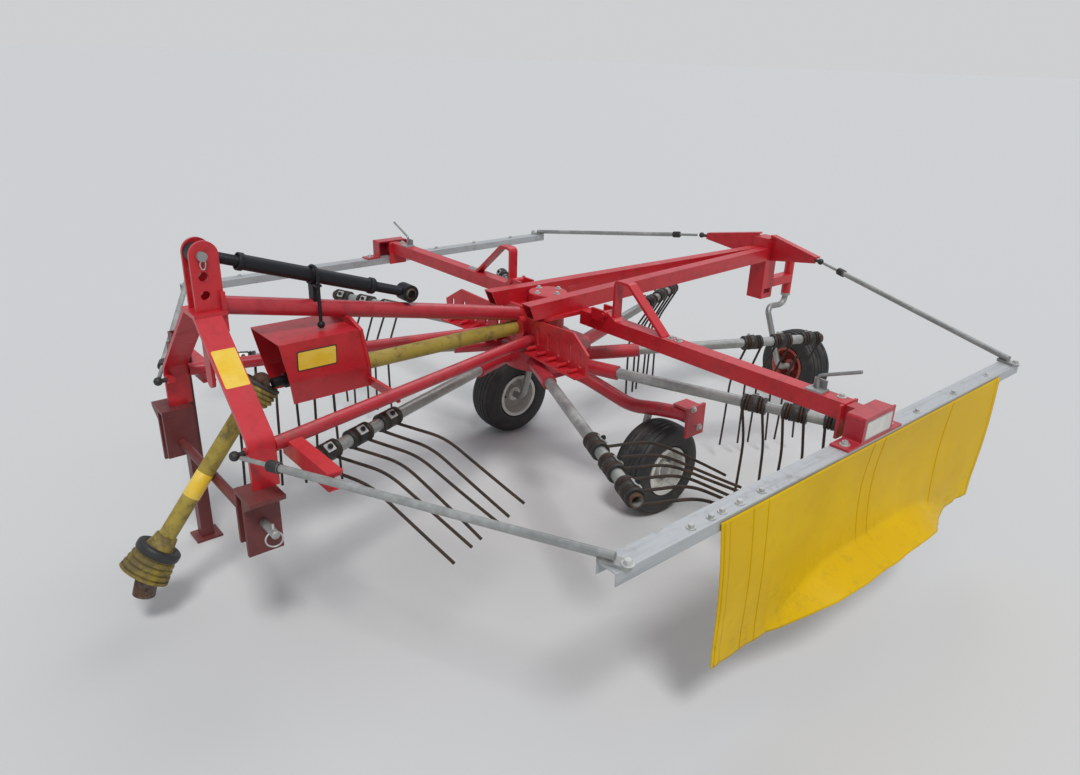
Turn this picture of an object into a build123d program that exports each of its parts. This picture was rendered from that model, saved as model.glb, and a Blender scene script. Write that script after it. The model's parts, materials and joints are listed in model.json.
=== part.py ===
from build123d import *
import math
import os

# Single-rotor rotary rake, carried on a three-point headstock, in millimetres.
# While it is modelled, +X points forward to the tractor, +Y to the left (swath) side, +Z up,
# and the rotor axis stands at x = y = 0 on the ground z = 0.
# At the end every piece is moved so that the origin is the bottom centre of the whole machine.

os.makedirs("parts", exist_ok=True)

# Clearances
seat_gap = 0.3            # between round pieces that sit in each other
running_gap = 0.05        # between a wheel hub and its axle, as a radius
slide_gap = 0.5           # between tubes that slide in each other

# Mast and headstock legs
mast_low_x = 1156
mast_width = 74
mast_plate = 10
mast_gap = 44
mast_pin_x = 1201
mast_pin_z = 1041
mast_foot_z = 895
mast_foot_flange = 20
mast_hole_r = 12.8
mast_hole_drops = (0, 54, 104)
strap_foot_z = 672
strap_width = 44
strap_plate = 10
strap_x = 1206
heel_low_z = 836
heel_high_z = 944
heel_overhang = 14
leg_x = 1208
leg_width = 70
leg_plate = 12
leg_bend_y = 324
leg_bend_z = 635
leg_foot_z = 510
leg_bend_r = 45
clamp_ear_depth = 20
clamp_ear_height = 20

# Lower hitch points, category 1
hitch_shoulder_y = 341.5
hitch_pin_r = 11
hitch_pin_length = 78
hitch_pin_chamfer = 3
hitch_neck = 1            # length of the turned neck at the pin's root
hitch_neck_r = 10.5
hitch_pin_x = 1230
hitch_pin_z = 423
bracket_depth = 92
bracket_plate = 12
bracket_slope = 30
stand_slot = 54
bracket_inner_y = 283
bracket_ledge_y = 389
bracket_foot_z = 335
bracket_rise = 20
crossbar_r = 14
crossbar_z = 397

# Parking stand
stand_x = 1178
stand_y = -368
stand_size = 40
stand_wall = 4
stand_top_z = 725
stand_hole_r = 6.5
stand_hole_step = 50
stand_holes = 7
foot_length = 84
foot_width = 76
foot_plate = 8
sleeve_wall = 6
sleeve_low_z = 600
sleeve_high_z = 690
sleeve_pin_z = 664
sleeve_tongue = 16

# Top link
link_eye_x = 586
link_eye_z = 842
link_bore_r = 12.8
link_pin_r = 12.5
link_eye_r = 27
link_front_width = 42
link_rear_width = 51
link_tube_r = 21
link_thread_r = 14
link_front_thread = 110
link_rear_thread = 128
stay_x = 893
stay_r = 5

# Frame tubes and the plates that join them
rack_face_x = 132
top_tube_r = 25
top_tube_rear_z = 693
top_tube_slope = 0.2
low_tube_r = 19
low_tube_z = 617
low_tube_rear_y = 70
low_tube_front_y = 318
tube_wall = 4
neck_plate = 12
carrier_x = 812
carrier_plate = 10
carrier_lean = 11.7
carrier_shoulder_y = 50
carrier_margin = 4
carrier_strip_low_z = 593
carrier_strip_high_z = 625
shaft_z = 645
shaft_guard_r = 25
shaft_r = 15
input_shaft_end = 1040
input_collar_r = 22
input_collar_length = 36
sheet = 3
guard_top_y = 98
guard_top_z = 788
guard_side_y = 90
guard_side_z = 668
guard_skirt_y = 70
guard_skirt_z = 595
guard_length = 242

# Front drive shaft with its guard, measured along its own axis from its rear joint
drive_joint_x = 1070
drive_joint_z = 660
drive_slope = -51.6
drive_tube_r = 24
drive_tube_start = 78
drive_tube_end = 562
drive_cross_r = 9
drive_cross_length = 76
upper_bell_profile = (
    # distance along the shaft, radius
    (4, 60),
    (50, 58),
    (88, 33),
    (88, 24),
    (83, 24),
    (83, 29),
    (48, 53),
    (4, 55),
)
lower_bell_profile = (
    (534, 24),
    (534, 60),
    (560, 62),
    (560, 56),
    (622, 70),
    (622, 65),
    (564, 51),
    (560, 24),
)
drive_front_joint = 592
yoke_slope = -72
yoke_r = 30
yoke_bore_r = 17.45
yoke_length = 72

# Gearbox and head plate
gear_r = 62
gear_floor_z = 584
head_plate = 12
head_plate_x = 98
head_plate_y = 132
cap_r = 70
cap_top_z = 754

# Racks for the tine arms, beside the gearbox
rack_sweep = 7.3
rack_plate = 8
rack_inner = 80
rack_outer = 398
rack_shoulder = 315
rack_low_z = 576
rack_top_z = 690
rack_peak_z = 713
rack_outer_z = 661
rack_lip = 40
rack_slots = 5
rack_slot_step = 62
rack_slot_width = 14
rack_slot_height = 62
rack_peg_r = 7
rack_peg_length = 34
rack_peg_rise = 18

# Holders for the outer ends of stored tine arms, channels open to the rear
holder_front_x = 1142
holder_depth = 40
holder_inner_y = 292
holder_outer_y = 545
holder_low_z = 572
holder_high_z = 620
holder_plate = 5
holder_peg_r = 6
holder_peg_places = (350, 425, 515)

# Rear beams and the crosshead behind them
beam_z = 732
beam_width = 45
beam_height = 55
beam_wall = 4
beam_front_x = 178
beam_front_y = 105
beam_rear_x = -1285
beam_rear_y = 22
beam_cut = 24
crosshead_x = -1325
column_size = 80
column_wall = 6
column_foot_z = 522
wing_tip_x = -1272
wing_tip_y = 296
wing_tip_z = 760
wing_root_low_z = 700
wing_root_high_z = 818
wing_tip_height = 28
wing_plate = 8
wing_flange = 22
head_top_z = 804
clamp_stud_length = 28
boom_low_z = 562
boom_height = 40
boom_width = 50
spindle_x = -1550
spindle_r = 14
spindle_tube_r = 22
spindle_tube_low_z = 505
spindle_tube_high_z = 705

# Axle under the rotor
post_r = 30
axle_r = 25
axle_block_low_z = 428
axle_block_high_z = 482
axle_path = (
    # x, y, z of the left half, from the middle outwards
    (-62, 0, 455),
    (-88, 130, 440),
    (-150, 310, 374),
    (-168, 420, 396),
    (-196, 535, 408),
)
axle_radii = (190, 150, 120)
end_plate_y = 548
end_plate = 10
crank_r = 14
crank_x = -226
crank_z = 370
crank_y = 338
crank_bend_r = 34

# Wheels
wheel_r = 172
wheel_width = 130
bead_r = 84
bead_y = 57
flange_r = 92
flange_plate = 4
wheel_x = -175
wheel_y = 428
hub_r = 30
stub_r = 12.5
disc_y = 12
disc_plate = 6
castor_turn = -100
castor_trail = 128
castor_reach = 112
castor_knee_z = 446
castor_bend_r = 36

# Rotor
rotor_z = 535
arm_count = 8
arm_turn = 20
arm_offset = -80
arm_r = 18
arm_wall = 4
arm_start = 150
arm_end = 1113
drum_r = 165
drum_low_z = 500
drum_high_z = 566
socket_r = 25
socket_end = 330

# Tines, three double ones on each arm
tine_places = (806, 934, 1062)
tine_wire_r = 4.5
tine_spread = 32
coil_r = 26
coil_length = 26
tine_upper = 190
tine_lower = 288
tine_knee = 28
tine_hang = 62
raised_arms = (0, 1)

# Guard arms and bars
guard_x = -65
arm_size = 50
guard_wall = 3.5
guard_z = 685
hinge_y = 256
hinge_r = 13
hinge_pin_r = 7
hinge_ear = 9
guard_end_y = 1160
hoop_bar = 10
hoop_width = 36
hoop_post_y = 286
hoop_corner_y = 345
hoop_foot_y = 508
hoop_top_z = 845
hoop_bend_r = 14
end_flange_width = 84
end_flange_low_z = 612
end_flange_high_z = 708
end_flange = 8
inner_start_y = 790
bar_y = 1220.5
bar_width = 55
bar_height = 30
bar_wall = 3
bar_top_z = 635
bar_front_x = 900
bar_rear_x = -1005
hat_front_x = 12
hat_rear_x = -142
hat_top_z = 712
hat_plate = 6
hat_foot = 60
hat_bend_r = 8
hat_depth = 54

# Curtain
curtain_front_x = 588
curtain_rear_x = -850
curtain_thickness = 4
curtain_profile = (
    # y out from the bar's outer face, z above the ground
    (2, 628),
    (9, 440),
    (3, 262),
    (48, 224),
)
curtain_radii = (600, 38)

# Corner links
clamp_x = 1268
clamp_y = 300
clamp_z = 605
clamp_stud_r = 7
clamp_r = 13
link_rod_r = 6
link_pipe_r = 10
link_collar_r = 14
link_collar_length = 30
link_rod_length = 95
link_end_gap = 10
link_seat_length = 70
link_seat_plate = 8
seat_inset = 22


def straight_tube(start, end, radius, bore=0.0):
    """A round bar or tube between two points."""
    run = Vector(*end) - Vector(*start)
    with BuildPart() as piece:
        with BuildSketch(Plane(origin=start, z_dir=run)):
            Circle(radius)
            if bore:
                Circle(bore, mode=Mode.SUBTRACT)
        extrude(amount=run.length)
    return piece.part


def bent_bar(points, radii, radius):
    """A round bar along straight runs joined by arcs."""
    with BuildPart() as piece:
        with BuildLine() as path:
            FilletPolyline(*points, radius=radii)
        with BuildSketch(Plane(origin=path.line @ 0, z_dir=path.line % 0)):
            Circle(radius)
        sweep()
    return piece.part


def side_plane(y):
    """A plane across the machine's side, seen with +X to the right and +Z up."""
    return Plane(origin=(0, y, 0), x_dir=(1, 0, 0), z_dir=(0, -1, 0))


def cross_plane(x):
    """A plane across the machine, with its own x along +Y and its own y along +Z."""
    return Plane(origin=(x, 0, 0), x_dir=(0, 1, 0), z_dir=(1, 0, 0))


# Mast and legs
mast_inner = mast_gap / 2
mast_outer = mast_inner + mast_plate
mast_high_x = mast_low_x + mast_width
mast_mid_x = mast_low_x + mast_width / 2
leg_low_x = leg_x - leg_width / 2
leg_high_x = leg_x + leg_width / 2

with BuildPart() as headstock:
    with BuildSketch(side_plane(mast_outer)):
        with BuildLine():
            Polyline(
                (mast_low_x, mast_pin_z),
                (mast_low_x, mast_foot_z),
                (mast_high_x, mast_foot_z),
                (mast_high_x, mast_pin_z),
            )
            ThreePointArc(
                (mast_high_x, mast_pin_z),
                (mast_mid_x, mast_pin_z + mast_width / 2),
                (mast_low_x, mast_pin_z),
            )
        make_face()
    extrude(amount=mast_plate)
    with BuildSketch(side_plane(mast_outer)):
        with Locations(*[(mast_pin_x, mast_pin_z - drop) for drop in mast_hole_drops]):
            Circle(mast_hole_r)
    extrude(amount=2 * mast_outer, mode=Mode.SUBTRACT)
    with BuildSketch(Plane.XY.offset(mast_foot_z - neck_plate)):
        with Locations(((mast_low_x + leg_high_x) / 2, 0)):
            Rectangle(leg_high_x - mast_low_x, 2 * (mast_outer + mast_foot_flange))
    extrude(amount=neck_plate)
    with BuildSketch(cross_plane(leg_low_x)):
        with BuildLine():
            FilletPolyline(
                (mast_outer + 6, mast_foot_z - neck_plate / 2),
                (leg_bend_y, leg_bend_z),
                (leg_bend_y, leg_foot_z),
                radius=leg_bend_r,
            )
        trace(line_width=leg_plate)
    extrude(amount=leg_width)
    with BuildSketch(cross_plane(mast_low_x)):
        with Locations((0, (heel_low_z + heel_high_z) / 2)):
            Rectangle(2 * (mast_outer + heel_overhang), heel_high_z - heel_low_z)
    extrude(amount=neck_plate)
    with BuildSketch(cross_plane(strap_x - strap_plate / 2)):
        with Locations((0, (mast_foot_z + strap_foot_z + strap_width / 2) / 2)):
            Rectangle(strap_width, mast_foot_z - strap_foot_z - strap_width / 2)
        with Locations((0, strap_foot_z + strap_width / 2)):
            Circle(strap_width / 2)
    extrude(amount=strap_plate)
    with BuildSketch(cross_plane(leg_high_x - clamp_ear_depth)):
        with Locations(((clamp_y - clamp_stud_r - 3 + leg_bend_y) / 2, clamp_z)):
            Rectangle(leg_bend_y - clamp_y + clamp_stud_r + 3, clamp_ear_height)
    extrude(amount=clamp_ear_depth)
    mirror(about=Plane.XZ)
headstock.part.label = "headstock"

# Lower hitch: a bracket of two cheeks and a ledge on each side, and the crossbar the drive shaft rests on
bracket_low_x = hitch_pin_x - bracket_depth / 2
drive_angle = math.radians(drive_slope)
rest_gap = drive_tube_r + crossbar_r + seat_gap
crossbar_x = drive_joint_x + (
    (crossbar_z - drive_joint_z) * math.cos(drive_angle) + rest_gap
) / math.sin(drive_angle)

with BuildPart() as lower_hitch:
    with BuildSketch(cross_plane(bracket_low_x)):
        with BuildLine():
            Polyline(
                (bracket_inner_y, leg_foot_z),
                (bracket_ledge_y, leg_foot_z),
                (bracket_ledge_y, leg_foot_z - bracket_plate),
                (hitch_shoulder_y, leg_foot_z - bracket_plate - bracket_slope),
                (hitch_shoulder_y, bracket_foot_z),
                (hitch_shoulder_y - bracket_plate, bracket_foot_z),
                (hitch_shoulder_y - bracket_plate, leg_foot_z - bracket_plate),
                (bracket_inner_y + bracket_plate, leg_foot_z - bracket_plate),
                (bracket_inner_y + bracket_plate, bracket_foot_z + bracket_rise),
                (bracket_inner_y, bracket_foot_z + bracket_rise),
                close=True,
            )
        make_face()
    extrude(amount=bracket_depth)
    mirror(about=Plane.XZ)
    with Locations((stand_x, stand_y, leg_foot_z)):
        Box(stand_slot, stand_slot + 2, 10 * bracket_plate, mode=Mode.SUBTRACT)
    with BuildSketch(side_plane(hitch_shoulder_y - bracket_plate)):
        with Locations((crossbar_x, crossbar_z)):
            Circle(crossbar_r)
    extrude(amount=2 * (hitch_shoulder_y - bracket_plate))
lower_hitch.part.label = "lower_hitch"

with BuildPart() as hitch_pins:
    with BuildSketch(side_plane(hitch_shoulder_y)):
        with Locations((hitch_pin_x, hitch_pin_z)):
            Circle(hitch_neck_r)
    extrude(amount=-hitch_neck)
    with BuildSketch(side_plane(hitch_shoulder_y + hitch_neck)):
        with Locations((hitch_pin_x, hitch_pin_z)):
            Circle(hitch_pin_r)
    extrude(amount=hitch_neck - hitch_pin_length)
    chamfer(hitch_pins.faces().sort_by(Axis.Y)[-1].edges(), hitch_pin_chamfer)
    mirror(about=Plane.XZ)
hitch_pins.part.label = "hitch_pins"

# Stand sleeve beside the right leg, and the parking stand in it
sleeve_inner = stand_size + 2 * slide_gap
sleeve_outer = sleeve_inner + 2 * sleeve_wall
sleeve_height = sleeve_high_z - sleeve_low_z
leg_outer_y = -(leg_bend_y + leg_plate / 2)
sleeve_near_y = stand_y + sleeve_outer / 2

with BuildPart() as stand_sleeve:
    with BuildSketch(Plane.XY.offset(sleeve_low_z)):
        with Locations((stand_x, stand_y)):
            Rectangle(sleeve_outer, sleeve_outer)
            Rectangle(sleeve_inner, sleeve_inner, mode=Mode.SUBTRACT)
    extrude(amount=sleeve_height)
    with BuildSketch(Plane.XY.offset(sleeve_low_z)):
        with Locations((leg_low_x + sleeve_tongue / 2 + 2, (leg_outer_y + sleeve_near_y) / 2)):
            Rectangle(sleeve_tongue, leg_outer_y - sleeve_near_y)
    extrude(amount=sleeve_tongue)
    with BuildSketch(side_plane(stand_y - sleeve_outer / 2)):
        with Locations((stand_x, sleeve_pin_z)):
            Circle(stand_hole_r)
    extrude(amount=26)
stand_sleeve.part.label = "stand_sleeve"

with BuildPart() as parking_stand:
    with BuildSketch(Plane.XY):
        with Locations((stand_x, stand_y)):
            Rectangle(foot_length, foot_width)
    extrude(amount=foot_plate)
    with BuildSketch(Plane.XY.offset(foot_plate)):
        with Locations((stand_x, stand_y)):
            Rectangle(stand_size, stand_size)
            Rectangle(stand_size - 2 * stand_wall, stand_size - 2 * stand_wall, mode=Mode.SUBTRACT)
    extrude(amount=stand_top_z - foot_plate)
    with BuildSketch(side_plane(stand_y + stand_size)):
        with Locations(*[(stand_x, sleeve_pin_z - stand_hole_step * i) for i in range(stand_holes)]):
            Circle(stand_hole_r)
    extrude(amount=2 * stand_size, mode=Mode.SUBTRACT)
parking_stand.part.label = "parking_stand"

# Top link, its pin and the stay that carries it at rest
link_run = Vector(link_eye_x - mast_pin_x, 0, link_eye_z - mast_pin_z)
link_length = link_run.length
link_way = link_run.normalized()
link_front = Vector(mast_pin_x, 0, mast_pin_z)


def on_link(distance):
    """A point on the top link's axis, measured back from the mast pin."""
    return link_front + link_way * distance


front_thread = straight_tube(on_link(24), on_link(link_front_thread), link_thread_r)
rear_thread = straight_tube(
    on_link(link_length - link_rear_thread), on_link(link_length - 24), link_thread_r
)
link_body = straight_tube(
    on_link(link_front_thread), on_link(link_length - link_rear_thread), link_tube_r
)

with BuildPart() as top_link:
    add(front_thread)
    add(link_body)
    add(rear_thread)
    with BuildSketch(side_plane(link_front_width / 2)):
        with Locations((mast_pin_x, mast_pin_z)):
            Circle(link_eye_r)
    extrude(amount=link_front_width)
    with BuildSketch(side_plane(link_rear_width / 2)):
        with Locations((link_eye_x, link_eye_z)):
            Circle(link_eye_r)
    extrude(amount=link_rear_width)
    with BuildSketch(side_plane(link_rear_width)):
        with Locations((mast_pin_x, mast_pin_z), (link_eye_x, link_eye_z)):
            Circle(link_bore_r)
    extrude(amount=2 * link_rear_width, mode=Mode.SUBTRACT)
top_link.part.label = "top_link"

with BuildPart() as mast_pin:
    with BuildSketch(side_plane(mast_outer + 14)):
        with Locations((mast_pin_x, mast_pin_z)):
            Circle(link_pin_r)
    extrude(amount=2 * mast_outer + 20)
    with BuildSketch(side_plane(-mast_outer - 1)):
        with Locations((mast_pin_x, mast_pin_z)):
            Circle(link_pin_r + 6)
    extrude(amount=7)
mast_pin.part.label = "mast_pin"

stay_link_z = mast_pin_z + link_way.Z / link_way.X * (stay_x - mast_pin_x)
stay_tube_z = top_tube_rear_z + top_tube_slope * (stay_x - rack_face_x)
cradle_r = link_tube_r + seat_gap
cradle_wall = 5
stay_rod_y = top_tube_r + stay_r + 4
tube_bore = straight_tube(
    (rack_face_x, 0, top_tube_rear_z),
    (stay_x + 200, 0, stay_tube_z + top_tube_slope * 200),
    top_tube_r,
)

with BuildPart() as stay_rod:
    with BuildSketch(Plane(origin=(stay_x, 0, stay_link_z), x_dir=(0, 1, 0), z_dir=link_way)):
        Circle(cradle_r + cradle_wall)
        Circle(cradle_r, mode=Mode.SUBTRACT)
        with Locations((0, -(cradle_r + cradle_wall))):
            Rectangle(3 * cradle_r, cradle_r + cradle_wall, mode=Mode.SUBTRACT)
    extrude(amount=8, both=True)
    with Locations((stay_x, 0, (stay_tube_z + stay_link_z - cradle_r) / 2 - 2)):
        Box(16, 30, stay_link_z - cradle_r - stay_tube_z - 4)
    add(tube_bore, mode=Mode.SUBTRACT)
    with Locations((stay_x, stay_rod_y - 5, stay_link_z - cradle_r - 3)):
        Box(16, 24, 6)
    with BuildSketch(Plane.XY.offset(guard_top_z + 12)):
        with Locations((stay_x, stay_rod_y)):
            Circle(stay_r)
    extrude(amount=stay_link_z - cradle_r - guard_top_z - 12)
    with Locations((stay_x, stay_rod_y, guard_top_z + 15)):
        Sphere(11)
stay_rod.part.label = "stay_rod"

# Frame tubes from the headstock back to the gearbox
overrun = 40
top_tube_way = Vector(1, 0, top_tube_slope).normalized()
top_tube_rear = Vector(rack_face_x, 0, top_tube_rear_z) - top_tube_way * overrun
top_tube_front = top_tube_rear + top_tube_way * (mast_low_x - rack_face_x + 3 * overrun)
low_tube_way = Vector(leg_low_x - rack_face_x, low_tube_front_y - low_tube_rear_y, 0).normalized()
low_tube_rear = Vector(rack_face_x, low_tube_rear_y, low_tube_z) - low_tube_way * overrun
low_tube_front = Vector(leg_low_x, low_tube_front_y, low_tube_z) + low_tube_way * overrun

upper_tube = straight_tube(top_tube_rear, top_tube_front, top_tube_r, top_tube_r - tube_wall)
lower_tube = straight_tube(low_tube_rear, low_tube_front, low_tube_r, low_tube_r - tube_wall)

with BuildPart() as frame_tubes:
    add(upper_tube)
    split(bisect_by=cross_plane(mast_low_x), keep=Keep.BOTTOM)
    add(lower_tube)
    split(bisect_by=cross_plane(rack_face_x), keep=Keep.TOP)
    split(bisect_by=cross_plane(leg_low_x), keep=Keep.BOTTOM)
    mirror(about=Plane.XZ)
frame_tubes.part.label = "frame_tubes"

# Leaning carrier plate that ties the three tubes and holds the drive line
lean = math.radians(carrier_lean)
carrier_top_z = top_tube_rear_z + top_tube_slope * (carrier_x - rack_face_x) - top_tube_r + 6
carrier_plane = Plane(
    origin=(carrier_x, 0, carrier_top_z),
    x_dir=(0, 1, 0),
    z_dir=(math.cos(lean), 0, -math.sin(lean)),
)


def carrier_y(height):
    """The distance down the leaning plate for a height above the ground."""
    return (height - carrier_top_z) / math.cos(lean)


carrier_low_x = carrier_x - (carrier_top_z - low_tube_z) * math.tan(lean)
carrier_tube_y = low_tube_rear_y + (carrier_low_x - rack_face_x) * low_tube_way.Y / low_tube_way.X
upper_bore = straight_tube(top_tube_rear, top_tube_front, top_tube_r + seat_gap)
lower_bore = straight_tube(low_tube_rear, low_tube_front, low_tube_r + seat_gap)
shaft_bore = straight_tube(
    (rack_face_x, 0, shaft_z), (leg_low_x, 0, shaft_z), shaft_guard_r + seat_gap
)

with BuildPart() as carrier:
    with BuildSketch(carrier_plane):
        with BuildLine():
            Polyline(
                (0, carrier_y(carrier_top_z)),
                (carrier_shoulder_y, carrier_y(carrier_top_z)),
                (guard_top_y + carrier_margin, carrier_y(guard_top_z)),
                (guard_side_y + carrier_margin, carrier_y(guard_side_z)),
                (guard_skirt_y + 2 * carrier_margin, carrier_y(carrier_strip_high_z)),
                (carrier_tube_y + 10, carrier_y(carrier_strip_high_z)),
                (carrier_tube_y + 10, carrier_y(carrier_strip_low_z)),
                (0, carrier_y(carrier_strip_low_z)),
                close=True,
            )
        make_face()
        mirror(about=Plane.YZ)
    extrude(amount=-carrier_plate)
    add(upper_bore, mode=Mode.SUBTRACT)
    add(lower_bore, mode=Mode.SUBTRACT)
    add(lower_bore.mirror(Plane.XZ), mode=Mode.SUBTRACT)
    add(shaft_bore, mode=Mode.SUBTRACT)
carrier.part.label = "carrier_plate"

# Folded guard over the rear joint of the front drive shaft
guard_outline = (
    (0, guard_top_z),
    (guard_top_y, guard_top_z),
    (guard_side_y, guard_side_z),
    (guard_skirt_y, guard_skirt_z),
)
with BuildPart() as guard_box:
    with BuildSketch(carrier_plane):
        with BuildLine():
            Polyline(*[(y, carrier_y(z)) for y, z in guard_outline])
            Polyline(
                (guard_skirt_y, carrier_y(guard_skirt_z)),
                (guard_skirt_y - sheet, carrier_y(guard_skirt_z)),
                (guard_side_y - sheet, carrier_y(guard_side_z)),
                (guard_top_y - sheet, carrier_y(guard_top_z) - sheet),
                (0, carrier_y(guard_top_z) - sheet),
                (0, carrier_y(guard_top_z)),
            )
        make_face()
        mirror(about=Plane.YZ)
    extrude(amount=guard_length, dir=(1, 0, 0))
guard_box.part.label = "guard_box"

# Drive line: the guarded shaft to the gearbox and the shaft stub in the guard box
guard_rear_x = rack_face_x + 20
guard_front_x = carrier_x - (carrier_top_z - shaft_z) * math.tan(lean) + 24
with BuildPart() as shaft_guard:
    with BuildSketch(cross_plane(guard_rear_x)):
        with Locations((0, shaft_z)):
            Circle(shaft_guard_r)
            Circle(shaft_r + 3, mode=Mode.SUBTRACT)
    extrude(amount=guard_front_x - guard_rear_x)
shaft_guard.part.label = "shaft_guard"

with BuildPart() as input_shaft:
    with BuildSketch(cross_plane(guard_rear_x)):
        with Locations((0, shaft_z)):
            Circle(shaft_r)
    extrude(amount=input_shaft_end - guard_rear_x)
    with BuildSketch(cross_plane(input_shaft_end - 2 * input_collar_length)):
        with Locations((0, shaft_z)):
            Circle(input_collar_r)
    extrude(amount=input_collar_length)
input_shaft.part.label = "input_shaft"

# Front drive shaft, hanging from its rear joint
drive_way = Vector(math.cos(drive_angle), 0, math.sin(drive_angle))
drive_joint = Vector(drive_joint_x, 0, drive_joint_z)


def on_drive(distance):
    """A point on the front drive shaft's axis, measured from its rear joint."""
    return drive_joint + drive_way * distance


def drive_plane(distance):
    """A plane square to the front drive shaft, with its own x along +Y."""
    return Plane(origin=on_drive(distance), x_dir=(0, 1, 0), z_dir=drive_way)


def turned_bell(profile):
    """A ring turned about the front drive shaft's axis from its half section."""
    with BuildPart() as piece:
        with BuildSketch(Plane(origin=drive_joint, x_dir=drive_way, z_dir=(0, 1, 0))):
            with BuildLine():
                Polyline(*profile, close=True)
            make_face()
        revolve(axis=Axis(drive_joint, drive_way))
    return piece.part


upper_bell = turned_bell(upper_bell_profile)
inner_yoke_r = drive_tube_r - 5
with BuildPart() as drive_guard:
    with BuildSketch(drive_plane(drive_tube_start)):
        Circle(drive_tube_r)
        Circle(inner_yoke_r, mode=Mode.SUBTRACT)
    extrude(amount=drive_tube_end - drive_tube_start)
    add(turned_bell(lower_bell_profile))
drive_guard.part.label = "drive_guard"

yoke_joint = on_drive(drive_front_joint)
yoke_angle = math.radians(yoke_slope)
yoke_way = Vector(math.cos(yoke_angle), 0, math.sin(yoke_angle))
inner_tube = straight_tube(on_drive(10), on_drive(drive_front_joint), inner_yoke_r)
yoke_bore_start = yoke_joint + yoke_way * 34
yoke_end = yoke_joint + yoke_way * (yoke_length + 20)
with BuildPart() as drive_yokes:
    add(inner_tube)
    with Locations(drive_joint):
        Sphere(24)
    with BuildSketch(side_plane(drive_cross_length / 2)):
        with Locations((drive_joint_x, drive_joint_z)):
            Circle(drive_cross_r)
    extrude(amount=drive_cross_length)
    with Locations(yoke_joint):
        Sphere(28)
    add(straight_tube(yoke_joint, yoke_end, yoke_r))
    add(straight_tube(yoke_bore_start, yoke_end + yoke_way, yoke_bore_r), mode=Mode.SUBTRACT)
drive_yokes.part.label = "drive_yokes"

# Gearbox between the rear beams, with its head plate and cap
head_plate_z = beam_z - beam_height / 2 - head_plate
with BuildPart() as gearbox:
    with BuildSketch(Plane.XY.offset(gear_floor_z)):
        Circle(gear_r + 24)
    extrude(amount=22)
    with BuildSketch(Plane.XY.offset(gear_floor_z)):
        Circle(gear_r)
    extrude(amount=head_plate_z - gear_floor_z)
    with BuildSketch(cross_plane(0)):
        with Locations((0, shaft_z)):
            Circle(44)
    extrude(amount=rack_face_x - neck_plate)
    with BuildSketch(Plane.XY.offset(head_plate_z)):
        with Locations(((rack_face_x - neck_plate - head_plate_x) / 2, 0)):
            RectangleRounded(rack_face_x - neck_plate + head_plate_x, 2 * head_plate_y, 20)
    extrude(amount=head_plate)
    with BuildSketch(Plane.XY.offset(head_plate_z + head_plate)):
        Circle(cap_r)
    extrude(amount=cap_top_z - head_plate_z - head_plate)
    fillet(gearbox.edges().group_by(Axis.Z)[-1], 5)
gearbox.part.label = "gearbox"

# Racks beside the gearbox, with the plate that closes them to the frame tubes
sweep_angle = math.radians(rack_sweep)
rack_plane = Plane(
    origin=(rack_face_x, rack_inner, 0),
    x_dir=(math.sin(sweep_angle), math.cos(sweep_angle), 0),
    z_dir=(math.cos(sweep_angle), -math.sin(sweep_angle), 0),
)
rack_span = (rack_outer - rack_inner) / math.cos(sweep_angle)
shoulder_span = (rack_shoulder - rack_inner) / math.cos(sweep_angle)
slot_start = 34
peg_start = slot_start - 18

with BuildPart() as arm_racks:
    with BuildSketch(rack_plane):
        with BuildLine():
            Polyline(
                (0, rack_low_z),
                (rack_span - 10, rack_low_z + 6),
                (rack_span, rack_outer_z),
                (shoulder_span, rack_peak_z),
                (0, rack_top_z),
                close=True,
            )
        make_face()
        with Locations(*[(slot_start + rack_slot_step * i, rack_low_z + 62) for i in range(rack_slots)]):
            SlotOverall(rack_slot_height, rack_slot_width, rotation=90, mode=Mode.SUBTRACT)
    extrude(amount=-rack_plate)
    with BuildSketch(rack_plane):
        with BuildLine():
            Polyline(
                (0, rack_low_z),
                (rack_span - 10, rack_low_z + 6),
                (rack_span - 10, rack_low_z + 12),
                (0, rack_low_z + 6),
                close=True,
            )
        make_face()
    extrude(amount=rack_lip)
    with BuildSketch(rack_plane):
        with Locations(*[(peg_start + rack_slot_step * i, rack_low_z + rack_peg_rise) for i in range(rack_slots)]):
            Circle(rack_peg_r)
    extrude(amount=rack_peg_length)
    mirror(about=Plane.XZ)
    with BuildSketch(cross_plane(rack_face_x - neck_plate)):
        with Locations((0, (rack_low_z + rack_top_z) / 2)):
            Rectangle(2 * (rack_inner + 8), rack_top_z - rack_low_z)
        with Locations((0, rack_top_z)):
            Rectangle(116, 64)
    extrude(amount=neck_plate)
    with BuildSketch(cross_plane(rack_face_x)):
        with Locations((0, shaft_z)):
            Circle(shaft_guard_r + 27)
    extrude(amount=guard_rear_x - rack_face_x)
    add(straight_tube(top_tube_rear, top_tube_front, top_tube_r), mode=Mode.SUBTRACT)
    add(straight_tube(low_tube_rear, low_tube_front, low_tube_r), mode=Mode.SUBTRACT)
    add(straight_tube(low_tube_rear, low_tube_front, low_tube_r).mirror(Plane.XZ), mode=Mode.SUBTRACT)
    split(bisect_by=cross_plane(rack_face_x - neck_plate - 8), keep=Keep.TOP)
arm_racks.part.label = "arm_racks"

# Holders on the low tubes for the outer ends of the stored arms, with pegs that point to the racks
holder_height = holder_high_z - holder_low_z
holder_mid_z = (holder_low_z + holder_high_z) / 2

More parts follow.
